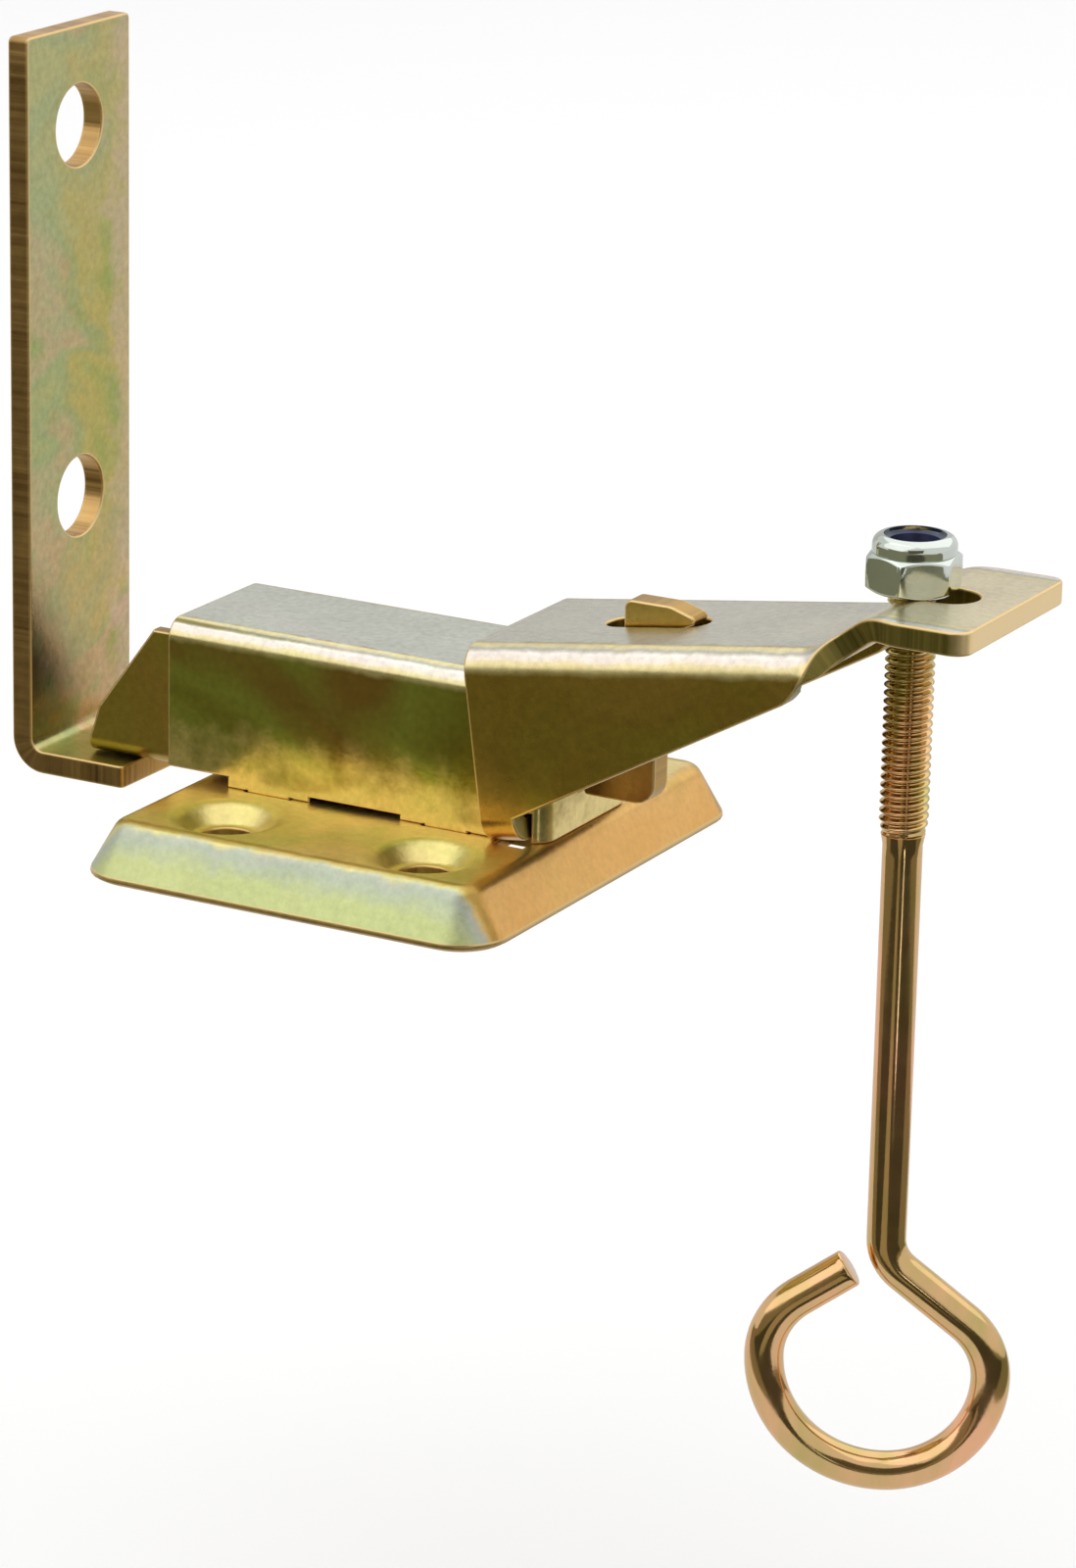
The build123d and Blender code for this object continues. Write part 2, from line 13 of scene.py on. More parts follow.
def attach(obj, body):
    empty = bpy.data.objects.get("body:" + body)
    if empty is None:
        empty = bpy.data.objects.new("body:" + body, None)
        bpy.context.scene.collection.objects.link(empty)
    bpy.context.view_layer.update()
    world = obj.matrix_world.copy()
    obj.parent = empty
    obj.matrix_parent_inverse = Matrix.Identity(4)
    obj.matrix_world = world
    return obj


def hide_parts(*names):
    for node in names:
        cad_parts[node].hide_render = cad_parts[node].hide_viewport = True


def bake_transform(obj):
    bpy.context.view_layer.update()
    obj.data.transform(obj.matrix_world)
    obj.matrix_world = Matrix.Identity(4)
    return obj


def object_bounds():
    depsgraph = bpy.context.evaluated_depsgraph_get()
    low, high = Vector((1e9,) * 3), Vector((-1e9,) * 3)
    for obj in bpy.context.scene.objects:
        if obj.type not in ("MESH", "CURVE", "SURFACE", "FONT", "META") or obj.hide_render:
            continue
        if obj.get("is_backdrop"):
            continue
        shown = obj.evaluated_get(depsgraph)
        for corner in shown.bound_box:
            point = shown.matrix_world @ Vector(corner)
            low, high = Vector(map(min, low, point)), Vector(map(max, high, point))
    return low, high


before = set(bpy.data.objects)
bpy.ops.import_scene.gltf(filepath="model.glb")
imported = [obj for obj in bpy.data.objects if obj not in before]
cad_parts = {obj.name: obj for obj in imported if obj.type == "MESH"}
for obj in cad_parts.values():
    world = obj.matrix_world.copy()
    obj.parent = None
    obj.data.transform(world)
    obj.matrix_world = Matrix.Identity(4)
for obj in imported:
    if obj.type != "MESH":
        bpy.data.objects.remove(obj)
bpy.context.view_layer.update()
MM = 0.001
WELD = 1e-4
ROW_GAP = 1e-3
SHARP_TURN = math.cos(math.radians(40))
SMOOTH_ANGLE = math.radians(38)
MITRE_FLOOR = 0.35
NEARNESS = 4.0
NUDGE = 0.01
FULL_TURN = 2 * math.pi
QUARTER = math.pi / 2
CORNER_STEPS = 8
Array = np.ndarray
Colour = tuple[float, float, float]
Socket = bpy.types.NodeSocket
log = logging.getLogger("hatch_latch")


class Cut(IntEnum):
    """Which material slot a face takes."""

    SKIN = 0
    EDGE = 1


# ---------------------------------------------------------------- shapes


@dataclass(frozen=True)
class Course:
    """A plane path of straight runs and arcs, walked at unit speed.

    A point on a move is its start plus the chord walked so far. The chord of an arc is its length
    times sin(t/2)/(t/2) for the turn t, and it leaves at the start heading plus half that turn.
    """

    start: tuple[float, float]
    heading: float
    moves: tuple[tuple[float, float], ...]

    @property
    def length(self) -> float:
        """Whole length of the path."""
        return sum(run for run, _ in self.moves)

    def at(self, s: Array) -> tuple[Array, Array]:
        """Points and headings at lengths along the path.

        Args:
            s: lengths from the start, of any shape; the ends are carried on.

        Returns:
            Points with a last axis of two, and headings in radians.
        """
        runs = np.array([run for run, _ in self.moves], float)
        turns = np.radians([turn for _, turn in self.moves])
        begins = np.concatenate([[0.0], np.cumsum(runs)[:-1]])
        heads = math.radians(self.heading) + np.concatenate([[0.0], np.cumsum(turns)[:-1]])
        chords = self._chord(runs, turns, heads)
        starts = np.asarray(self.start) + np.concatenate([[[0.0, 0.0]], np.cumsum(chords, 0)[:-1]])
        i = np.clip(np.searchsorted(begins, s, "right") - 1, 0, len(runs) - 1)
        run = s - begins[i]
        turn = run * (turns / runs)[i]
        return starts[i] + self._chord(run, turn, heads[i]), heads[i] + turn

    @staticmethod
    def _chord(run: Array, turn: Array, head: Array) -> Array:
        """Chord of an arc of this length and turn that leaves at this heading."""
        reach = run * np.sinc(turn / FULL_TURN)
        return reach[..., None] * np.stack([np.cos(head + turn / 2), np.sin(head + turn / 2)], -1)


@dataclass
class Blank:
    """A flat blank before it is folded: welded places (s, q) and faces that run anticlockwise."""

    at: Array
    faces: list[Array]

    @classmethod
    def grid(cls, s: Array, q: Array, keep: Array | None = None) -> "Blank":
        """Cells between rows of constant s and columns q(s).

        Args:
            s: place of each row.
            q: places along each row, rows by columns.
            keep: which cells are metal; all of them if left out.

        Returns:
            The blank.
        """
        at = np.stack([np.broadcast_to(s[:, None], q.shape), q], -1).reshape(-1, 2)
        number = np.arange(q.size).reshape(q.shape)
        cells = np.stack([number[:-1, :-1], number[1:, :-1], number[1:, 1:], number[:-1, 1:]], -1)
        return cls(at, [cells.reshape(-1, 4) if keep is None else cells[keep]])

    @classmethod
    def joined(cls, *blanks: "Blank") -> "Blank":
        """One blank of several, with places that coincide made one and cells that close up made triangles.

        Args:
            blanks: the blanks to join.

        Returns:
            The joined blank, without places that no face uses.
        """
        at = np.concatenate([b.at for b in blanks])
        shift = np.cumsum([0] + [len(b.at) for b in blanks[:-1]])
        steps = np.round(at / WELD).astype(np.int64)
        _, first, same = np.unique(steps, axis=0, return_index=True, return_inverse=True)
        same = same.reshape(-1)
        triangles, whole = [], []
        for face in (same[f + k] for b, k in zip(blanks, shift) for f in b.faces):
            double = face == np.roll(face, -1, 1)
            once = double.sum(1) == 1
            whole.append(face[~double.any(1)])
            if face.shape[1] == 4 and once.any():
                triangles.append(face[once][~double[once]].reshape(-1, 3))
        faces = whole + triangles
        used, compact = np.unique(np.concatenate([f.ravel() for f in faces]), return_inverse=True)
        ends = np.cumsum([f.size for f in faces])[:-1]
        parts = np.split(compact.reshape(-1), ends)
        return cls(at[first][used], [part.reshape(f.shape) for part, f in zip(parts, faces)])

    def closed(self, s: float) -> "Blank":
        """This blank with each place at s made one with its image at -q, for a fold that brings them together.

        Args:
            s: the row that closes up.

        Returns:
            The closed blank.
        """
        ends = np.flatnonzero(np.abs(self.at[:, 0] - s) < WELD)
        low, high = ends[self.at[ends, 1] < 0], ends[self.at[ends, 1] > 0]
        number = np.arange(len(self.at))
        number[low[np.argsort(-self.at[low, 1])]] = high[np.argsort(self.at[high, 1])]
        return Blank.joined(Blank(self.at, [number[f] for f in self.faces]))

    def mirrored(self) -> "Blank":
        """This half blank and its image at q below 0, joined along q = 0."""
        return Blank.joined(self, Blank(self.at * [1, -1], [f[:, ::-1] for f in self.faces]))


class Fold(Protocol):
    """How a blank is bent: a place on it and a depth below its outer face give a point."""

    def place(self, at: Array, depth: Array | float) -> Array:
        """Points for blank places at this depth."""

    def facing(self, at: Array) -> Array:
        """Directions that the outer face points in."""


@dataclass(frozen=True)
class ChannelFold:
    """A channel: the section is walked by |q| from its middle, and the spine by s.

    The point is the spine's point plus the section's height along the spine's left normal, and the
    section's breadth along Y with the sign of q.
    """

    spine: Course
    section: Course

    def across(self, at: Array) -> tuple[Array, Array]:
        """Section points and their outward normals, for blank places."""
        point, head = self.section.at(np.abs(at[:, 1]))
        return point, np.stack([-np.sin(head), np.cos(head)], -1)

    def place(self, at: Array, depth: Array | float) -> Array:
        """Points for blank places at this depth.

        Args:
            at: blank places.
            depth: how far below the outer face, one for all or one each.

        Returns:
            The points.
        """
        point, normal = self.across(at)
        base, way = self.spine.at(at[:, 0])
        foot = np.stack([base[:, 0], 0 * way, base[:, 1]], -1)
        return foot + self._carried(point - np.reshape(depth, (-1, 1)) * normal, way, at[:, 1])

    def facing(self, at: Array) -> Array:
        """Directions that the outer face points in."""
        return self._carried(self.across(at)[1], self.spine.at(at[:, 0])[1], at[:, 1])

    @staticmethod
    def _carried(across: Array, way: Array, q: Array) -> Array:
        """Vectors of the section, stood up along the spine's heading on the side that q has."""
        side = np.where(q < 0, -1, 1)
        return np.stack([-across[:, 1] * np.sin(way), side * across[:, 0], across[:, 1] * np.cos(way)], -1)


@dataclass
class Surface:
    """Points, faces, the normal of each face corner, and what the materials read."""

    points: Array
    faces: list[Array]
    normals: list[Array] | None = None
    spread: list[Array] | None = None
    slots: list[Array] | None = None
    depth: Array | None = None

    def piece(self, name: str, *finishes: "Finish") -> bpy.types.Object:
        """The mesh object of this surface.

        Args:
            name: name of the piece.
            finishes: the finish of each material slot in order.

        Returns:
            The object, in the scene.
        """
        mesh = bpy.data.meshes.new(name)
        mesh.from_pydata((self.points * MM).tolist(), [], [row for f in self.faces for row in f.tolist()])
        for finish in finishes:
            mesh.materials.append(finish.material)
        mesh.shade_smooth()
        if self.slots is not None:
            mesh.polygons.foreach_set("material_index", np.concatenate(self.slots).astype(np.int32))
        if self.spread is not None:
            places = np.concatenate([u.reshape(-1, 2) for u in self.spread])
            mesh.uv_layers.new(name="blank").data.foreach_set("uv", places.astype(np.float32).ravel())
        if self.depth is not None:
            through = mesh.attributes.new("through", "FLOAT", "POINT")
            through.data.foreach_set("value", self.depth.astype(np.float32))
        if self.normals is not None:
            mesh.normals_split_custom_set(np.concatenate([n.reshape(-1, 3) for n in self.normals]).tolist())
        else:
            mesh.set_sharp_from_angle(angle=SMOOTH_ANGLE)
        made = bpy.data.objects.new(name, mesh)
        bpy.context.scene.collection.objects.link(made)
        return made


def unit(v: Array) -> Array:
    """Vectors of length one."""
    return v / np.maximum(np.linalg.norm(v, axis=-1, keepdims=True), 1e-12)


def giving(at: Array, border: Array, moves: Array, reach: float = 3.0) -> Array:
    """How far a blank's places move with its border.

    A place takes the mean of the border's moves, each weighed by the fourth power of its nearness. It
    takes all of it at the border and, in a straight line, none of it a reach away.

    Args:
        at: the places.
        border: the border's places.
        moves: how far each of them moves.
        reach: how far from the border places still move, in millimetres.

    Returns:
        A move for each place.
    """
    apart = np.linalg.norm(at[:, None] - border[None], axis=2)
    weight = (apart + WELD) ** -NEARNESS
    mean = (weight @ moves) / weight.sum(1)[:, None]
    return mean * np.maximum(1 - apart.min(1) / reach, 0)[:, None]


def shell(blank: Blank, fold: Fold, sheet: float, edge: float, steps: int = 3) -> Surface:
    """A folded sheet with rounded cut edges.

    Both faces are the blank folded at depth 0 and at the sheet's depth, its places drawn in with the
    border. Round each border runs a profile of a quarter arc, a flat and a quarter arc: at angle a it
    is drawn in by edge (1 - sin a) and lies edge (1 - cos a) deep, and it faces cos a along the face
    and sin a out of the border.

    Args:
        blank: the flat blank.
        fold: how it is bent.
        sheet: thickness.
        edge: radius of the cut edges.
        steps: steps of each quarter arc.

    Returns:
        The closed surface, with face slots told apart by Cut.
    """
    at, faces, n = blank.at, blank.faces, len(blank.at)
    probe = at[faces[0][0, :3]]
    corner = fold.place(probe, 0.0)
    turned = np.dot(np.cross(corner[1] - corner[0], corner[2] - corner[0]), fold.facing(probe)[0]) < 0
    if turned:
        faces = [f[:, ::-1] for f in faces]
    edges = np.concatenate([np.stack([f, np.roll(f, -1, 1)], -1).reshape(-1, 2) for f in faces])
    tail, head = edges[~np.isin(edges @ [n, 1], edges @ [1, n])].T
    m = len(tail)
    starts = np.full(n, -1)
    starts[tail] = np.arange(m)
    after = starts[head]
    before = np.argsort(after)
    way = unit(at[head] - at[tail])
    side = np.stack([way[:, 1], -way[:, 0]], -1) * (-1 if turned else 1)
    meet = np.sum(side[before] * side, 1)
    mitre = (side[before] + side) / np.maximum(1 + meet, MITRE_FLOOR)[:, None]
    mild = (meet > SHARP_TURN)[:, None]
    tail_side = np.where(mild, unit(side[before] + side), side)
    head_side = np.where(mild[after], unit(side + side[after]), side)

    angle = np.linspace(0, QUARTER, steps + 1)
    draw = edge * (1 - np.sin(angle))
    sink = edge * (1 - np.cos(angle))
    draws = np.concatenate([draw, draw[::-1]])
    sinks = np.concatenate([sink, sheet - sink[::-1]])
    lifts = np.concatenate([np.cos(angle), -np.cos(angle[::-1])])[:, None, None]
    outs = np.concatenate([np.sin(angle), np.sin(angle[::-1])])[:, None, None]
    drawn = at + giving(at, at[tail], -mitre * edge)
    drawn[tail] = at[tail] - mitre * edge
    rows = len(draws)
    inner = [fold.place(at[tail] - mitre * draws[k], sinks[k]) for k in range(1, rows - 1)]
    points = np.concatenate([fold.place(drawn, 0.0), fold.place(drawn, sheet), *inner])
    ring = np.concatenate([tail[None], 2 * n + np.arange((rows - 2) * m).reshape(-1, m), n + tail[None]])
    rim = np.stack([ring[:-1][:, after], ring[:-1], ring[1:], ring[1:][:, after]], -1).reshape(-1, 4)

    def outward(ends: Array, sides: Array) -> Array:
        """Directions out of the border, at half the sheet's depth."""
        return unit(fold.place(at[ends], sheet / 2) - fold.place(at[ends] - NUDGE * sides, sheet / 2))

    up, rise = fold.facing(drawn), fold.facing(at[tail])
    at_tail = lifts * rise + outs * outward(tail, tail_side)
    at_head = lifts * rise[after] + outs * outward(head, head_side)
    rim_normals = np.stack([at_head[:-1], at_tail[:-1], at_tail[1:], at_head[1:]], -2).reshape(-1, 4, 3)
    rim_spread = np.stack([at[head], at[tail], at[tail], at[head]], 1)
    skins = faces + [f[:, ::-1] + n for f in faces]
    skin_normals = np.concatenate([up, -up])
    return Surface(
        points,
        skins + [rim],
        [skin_normals[f] for f in skins] + [rim_normals],
        [np.abs(at[f % n]) * MM for f in skins] + [np.tile(rim_spread, (rows - 1, 1, 1)) * MM],
        [np.full(len(f), Cut.SKIN) for f in skins] + [np.full(len(rim), Cut.EDGE)],
        np.concatenate([np.zeros(n), np.ones(n), np.repeat(sinks[1:-1] / sheet, m)]),
    )


def lathe_grid(rows: int, columns: int) -> Array:
    """Quads of a grid that closes on itself after its last column.

    Args:
        rows: number of rows.
        columns: number of columns.

    Returns:
        Four numbers for each quad, counted row by row.
    """
    number = np.arange(rows * columns).reshape(rows, columns)
    right = np.roll(number, -1, 1)
    return np.stack([number[:-1], right[:-1], right[1:], number[1:]], -1).reshape(-1, 4)


def tube(middle: Array, out: Array, side: Array, radius: Array, capped: bool = True) -> Surface:
    """A rod round a path: the point at row i and angle a is middle + radius (cos a out + sin a side).

    Args:
        middle: points of the path.
        out: unit vectors across the path, one per row.
        side: unit vectors across the path and square to out, so that side x out runs along the path.
        radius: radii, rows by angles.
        capped: whether the ends are closed by a flat face.

    Returns:
        The surface.
    """
    rows, columns = radius.shape
    angle = np.linspace(0, FULL_TURN, columns, endpoint=False)
    across = np.cos(angle)[None, :, None] * out[:, None] + np.sin(angle)[None, :, None] * side[:, None]
    points = (middle[:, None] + radius[..., None] * across).reshape(-1, 3)
    faces = [lathe_grid(rows, columns)[:, ::-1]]
    if capped:
        first = np.arange(columns)
        faces += [first[None], first[None, ::-1] + (rows - 1) * columns]
    return Surface(points, faces)


# ---------------------------------------------------------------- finishes


@dataclass(frozen=True)
class Grain:
    """A noise: features to the metre, octaves, how strong the finer ones are, and how far it is warped."""

    scale: float
    detail: float = 3.0
    rough: float = 0.55
    bend: float = 0.0


TORN = Grain(260, 4, 0.6)
SPECK = Grain(1100, 3, 0.6)
CLOUD = Grain(110, 4)
PEEL = Grain(1300, 2, 0.5)
RIPPLE = Grain(240, 3, 0.5)
SHEAR = Grain(1500, 4, 0.65)
PATCH = Grain(160, 3, 0.6)
SMEAR = Grain(300)
DRAWN = Grain(1600, 2)
HAZE = Grain(500)
NOISE_SPAN = (0.3, 0.7)
BLACK: Colour = (0.0, 0.0, 0.0)
WHITE: Colour = (1.0, 1.0, 1.0)


class Nodes:
    """A material's node tree, with its Principled shader, and short ways to add to it."""

    def __init__(self, name: str) -> None:
        """Starts a plain material.

        Args:
            name: name of the material.
        """
        self.material = bpy.data.materials.new(name)
        self.material.use_nodes = True
        self.tree = self.material.node_tree
        self.shader = self.tree.nodes["Principled BSDF"]

    def add(self, kind: str, links: dict[str | int, Socket] | None = None, **values: object) -> bpy.types.Node:
        """A node of this kind.

        Args:
            kind: the node's name in Blender, without its prefix.
            links: sockets that feed its inputs.
            values: its properties.

        Returns:
            The node.
        """
        node = self.tree.nodes.new(f"ShaderNode{kind}")
        for key, value in values.items():
            setattr(node, key, value)
        for key, source in (links or {}).items():
            self.tree.links.new(source, node.inputs[key])
        return node

    def feed(self, **links: Socket) -> None:
        """Feeds the shader's inputs; an underscore stands for a space."""
        for key, source in links.items():
            self.tree.links.new(source, self.shader.inputs[key.replace("_", " ")])

    def places(self, stretch: tuple[float, float, float] = (1, 1, 1)) -> Socket:
        """Object coordinates.

        Args:
            stretch: scale along each axis.

        Returns:
            The scaled place.
        """
        mapping = self.add("Mapping", {"Vector": self.add("TexCoord").outputs["Object"]})
        mapping.inputs["Scale"].default_value = stretch
        return mapping.outputs["Vector"]

    def noise(self, where: Socket, grain: Grain) -> Socket:
        """Noise over a surface.

        Args:
            where: the place.
            grain: the kind of noise.

        Returns:
            A number about 0.5.
        """
        node = self.add("TexNoise", {"Vector": where})
        sockets = {"Scale": grain.scale, "Detail": grain.detail, "Roughness": grain.rough, "Distortion": grain.bend}
        for key, value in sockets.items():
            node.inputs[key].default_value = value
        return node.outputs["Fac"]

    def ramp(self, value: Socket, *stops: tuple[float, Colour]) -> Socket:
        """Colour by a number.

        Args:
            value: the number.
            stops: places from 0 to 1 and the colour at each.

        Returns:
            The colour.
        """
        node = self.add("ValToRGB", {"Fac": value})
        stones = node.color_ramp.elements
        while len(stones) < len(stops):
            stones.new(0.5)
        for stone, (place, colour) in zip(stones, stops):
            stone.position = place
            stone.color = (*colour, 1)
        return node.outputs["Color"]

    def span(self, value: Socket, low: float, high: float, to_low: float, to_high: float) -> Socket:
        """A number moved from one range to another and held there.

        Args:
            value: the number.
            low: start of its range.
            high: end of its range.
            to_low: start of the new range.
            to_high: end of the new range.

        Returns:
            The moved number.
        """
        node = self.add("MapRange", {"Value": value})
        for key, number in (("From Min", low), ("From Max", high), ("To Min", to_low), ("To Max", to_high)):
            node.inputs[key].default_value = number
        return node.outputs["Result"]

    def mix(self, share: Socket, first: Socket, second: Socket | Colour, way: str = "MIX") -> Socket:
        """Two colours mixed by a share.

        Args:
            share: how much of the second.
            first: the first colour.
            second: the second colour.
            way: the kind of mix.

        Returns:
            The mixed colour.
        """
        factor, lower, upper, result = 0, 6, 7, 2
        node = self.add("Mix", {factor: share, lower: first}, data_type="RGBA", blend_type=way)
        if isinstance(second, tuple):
            node.inputs[upper].default_value = (*second, 1)
        else:
            self.tree.links.new(second, node.inputs[upper])
        return node.outputs[result]

    def bump(self, height: Socket, distance: float, strength: float, under: Socket | None = None) -> Socket:
        """A bumped normal.

        Args:
            height: the height that bumps it.
            distance: what a height of 1 stands for, in metres.
            strength: how much of it shows.
            under: another bumped normal that this one lies over.

        Returns:
            The normal.
        """
        node = self.add("Bump", {"Height": height} if under is None else {"Height": height, "Normal": under})
        node.inputs["Distance"].default_value = distance
        node.inputs["Strength"].default_value = strength
        return node.outputs["Normal"]


class Field(Enum):
    """What a wash is measured along: the place in the frame, or the place on the flat blank."""

    PLACE = "Object"
    BLANK = "UV"


@dataclass(frozen=True)
class Wash:
    """A tone that comes in and goes out along one direction, in millimetres, with a torn border."""

    colour: Colour
    field: Field
    way: tuple[float, float, float]
    reach: tuple[float, float, float, float]
    share: float = 0.8
    both: bool = False
    tear: float = 1.2

    def lay(self, n: Nodes, under: Socket) -> Socket:
        """The colour under it with this wash laid over.

        Args:
            n: the material's nodes.
            under: the colour so far.

        Returns:
            The new colour.
        """
        along = n.add("VectorMath", {0: n.add("TexCoord").outputs[self.field.value]}, operation="DOT_PRODUCT")
        along.inputs[1].default_value = self.way
        value = along.outputs["Value"]
        if self.both:
            value = n.add("Math", {0: value}, operation="ABSOLUTE").outputs[0]
        start, come, go, stop = self.reach
        half = self.tear * MM / 2
        torn = n.span(n.noise(n.places(), TORN), *NOISE_SPAN, -half, half)
        value = n.add("Math", {0: value, 1: torn}, operation="ADD").outputs[0]
        value = n.span(value, start * MM, stop * MM, 0, 1)
        rise, fall = ((v - start) / (stop - start) for v in (come, go))
        full: Colour = (self.share,) * 3
        return n.mix(n.ramp(value, (0, BLACK), (rise, full), (fall, full), (1, BLACK)), under, self.colour)


@dataclass(frozen=True)
class YellowZinc:
    """Yellow passivated zinc on pressed sheet: drifting tones, washes, a fine peel and uneven gloss."""

    name: str
    tones: tuple[tuple[float, Colour], ...]
    washes: tuple[Wash, ...] = ()
    drift: float = 34.0
    stretch: tuple[float, float, float] = (1.0, 1.0, 1.0)
    gloss: tuple[float, float] = (0.22, 0.34)
    peel: float = 0.16
    grain: float = 0.64
    specked: ClassVar[tuple[float, float]] = (0.45, 0.75)
    speck_span: ClassVar[tuple[float, float]] = (0.2, 0.8)
    mottle_span: ClassVar[tuple[float, float]] = (0.3, 0.72)
    peel_depth: ClassVar[float] = 0.00006
    ripple_depth: ClassVar[float] = 0.0002
    ripple: ClassVar[float] = 0.11

    def make(self) -> bpy.types.Material:
        """Sets up the material.

        Returns:
            The material.
        """
        n = Nodes(self.name)
        broad = n.noise(n.places(self.stretch), Grain(self.drift, detail=2.5, rough=0.5, bend=0.8))
        tone = n.ramp(broad, *self.tones)
        for wash in self.washes:
            tone = wash.lay(n, tone)
        dull, clean = self.mottle_span
        mottle = n.ramp(n.noise(n.places(), SPECK), (dull, (self.grain,) * 3), (clean, WHITE))
        peel = n.bump(n.noise(n.places(), PEEL), self.peel_depth, self.peel)
        n.feed(
            Base_Color=n.mix(n.span(broad, *self.speck_span, *self.specked), tone, mottle, "MULTIPLY"),
            Roughness=n.span(n.noise(n.places(), CLOUD), *NOISE_SPAN, *self.gloss),
            Normal=n.bump(n.noise(n.places(), RIPPLE), self.ripple_depth, self.ripple, peel),
        )
        n.shader.inputs["Metallic"].default_value = 1.0
        return n.material


@dataclass(frozen=True)
class CutZinc:
    """A sheared edge under the same plating: streaks through the sheet and a burr on each side, painted light as a
    highlight.
    """

    name: str
    dark: Colour = (0.20, 0.11, 0.03)
    light: Colour = (0.60, 0.37, 0.10)
    washes: tuple[Wash, ...] = ()
    tone_steps: ClassVar[tuple[float, float, float]] = (0.32, 0.55, 0.72)
    patch_span: ClassVar[tuple[float, float]] = (0.35, 0.65)
    patch_share: ClassVar[float] = 0.7
    burr_highlight: ClassVar[Colour] = (0.82, 0.60, 0.28)
    burr_highlight_width: ClassVar[float] = 0.14
    gloss: ClassVar[tuple[float, float]] = (0.28, 0.45)
    streak_depth: ClassVar[float] = 0.0001
    streak: ClassVar[float] = 0.35

    def make(self) -> bpy.types.Material:
        """Sets up the material.

        Returns:
            The material.
        """
        n = Nodes(self.name)
        along = n.add("UVMap", uv_map="blank").outputs["UV"]
        streak = n.noise(along, SHEAR)
        half = tuple((a + b) / 2 for a, b in zip(self.dark, self.light))
        tone = n.ramp(streak, *zip(self.tone_steps, (self.dark, half, self.light)))
        patch = n.span(n.noise(along, PATCH), *self.patch_span, 0.0, self.patch_share)
        tone = n.mix(patch, tone, self.light)
        for wash in self.washes:
            tone = wash.lay(n, tone)
        through = n.add("Attribute", attribute_name="through").outputs["Fac"]
        # Painted highlight: a light band along both borders of the cut, where the rounded edge catches the light.
        burr_highlight = n.ramp(through, (0, WHITE), (self.burr_highlight_width, BLACK), (1 - self.burr_highlight_width, BLACK), (1, WHITE))
        n.feed(
            Base_Color=n.mix(burr_highlight, tone, self.burr_highlight),
            Roughness=n.span(streak, *NOISE_SPAN, *self.gloss),
            Normal=n.bump(streak, self.streak_depth, self.streak),
        )
        n.shader.inputs["Metallic"].default_value = 1.0
        return n.material


@dataclass(frozen=True)
class TurnedMetal:
    """Plain drawn or turned metal with fine unevenness in tone and gloss."""

    name: str
    dark: Colour
    light: Colour
    gloss: tuple[float, float]
    drift: float = 120.0
    stretch: tuple[float, float, float] = (1.0, 1.0, 0.35)
    peel: float = 0.1
    tone_span: ClassVar[tuple[float, float]] = (0.34, 0.66)
    peel_depth: ClassVar[float] = 0.00005

    def make(self) -> bpy.types.Material:
        """Sets up the material.

        Returns:
            The material.
        """
        n = Nodes(self.name)
        broad = n.noise(n.places(self.stretch), Grain(self.drift, detail=4, rough=0.6, bend=0.4))
        n.feed(
            Base_Color=n.ramp(broad, *zip(self.tone_span, (self.dark, self.light))),
            Roughness=n.span(n.noise(n.places(), SMEAR), *NOISE_SPAN, *self.gloss),
            Normal=n.bump(n.noise(n.places(), DRAWN), self.peel_depth, self.peel),
        )
        n.shader.inputs["Metallic"].default_value = 1.0
        return n.material


@dataclass(frozen=True)
class Nylon:
    """Dyed nylon with a faint cloud."""

    name: str
    dark: Colour
    light: Colour
    gloss: ClassVar[float] = 0.32

    def make(self) -> bpy.types.Material:
        """Sets up the material.

        Returns:
            The material.
        """
        n = Nodes(self.name)
        n.feed(Base_Color=n.ramp(n.noise(n.places(), HAZE), *zip(NOISE_SPAN, (self.dark, self.light))))
        n.shader.inputs["Roughness"].default_value = self.gloss
        return n.material


GOLD: Colour = (0.80, 0.60, 0.19)
PALE: Colour = (0.88, 0.76, 0.40)
OLIVE: Colour = (0.40, 0.34, 0.05)
MOSS: Colour = (0.38, 0.44, 0.07)
MINT: Colour = (0.54, 0.61, 0.28)
PINK: Colour = (0.80, 0.56, 0.42)
BLUSH: Colour = (0.95, 0.87, 0.80)
# Painted reflection of the pan, used low on the lever's walls.
REFLECTED_COPPER: Colour = (0.80, 0.43, 0.12)
# Painted sheen: pale colour of the lever's top, where it faces the light.
LEVER_TOP_SHEEN: Colour = (0.77, 0.76, 0.66)
# Painted sheen: pale colour of the housing's roof, where it faces the light.
ROOF_SHEEN: Colour = (0.86, 0.88, 0.79)
SLATE: Colour = (0.42, 0.48, 0.52)
BROWN: Colour = (0.50, 0.32, 0.07)
# Painted shade for the pull plate's lower part, over its bar and stop block.
BLOCK_SHADE: Colour = (0.36, 0.18, 0.07)
ACROSS = (0.0, 1.0, 0.0)
NEAR = (0.0, -1.0, 0.0)
ALONG = (1.0, 0.0, 0.0)
UP = (0.0, 0.0, 1.0)
FAR = 500.0


def bend_film_and_highlight_bands(start: float, width: float) -> tuple[Wash, ...]:
    """Thin bands of film colour and painted highlight across a bend.

    Args:
        start: where the bend starts on the blank.
        width: its width.

    Returns:
        A wash for each band.
    """
    # The pale and blush bands are painted highlights along the bend and the slate band a painted reflection, all tinted
    # with film colour.
    bands = ((PALE, 0.0, 0.28, 0.85), (SLATE, 0.22, 0.46, 0.6), (BLUSH, 0.4, 0.74, 0.85), (PALE, 0.7, 1.0, 0.8))
    outside, inside = 0.1, 0.06
    return tuple(
        Wash(
            colour, Field.BLANK, ACROSS,
            tuple(start + width * v for v in (low - outside, low + inside, high - inside, high + outside)),
            share, tear=0.5,
        )
        for colour, low, high, share in bands
    )


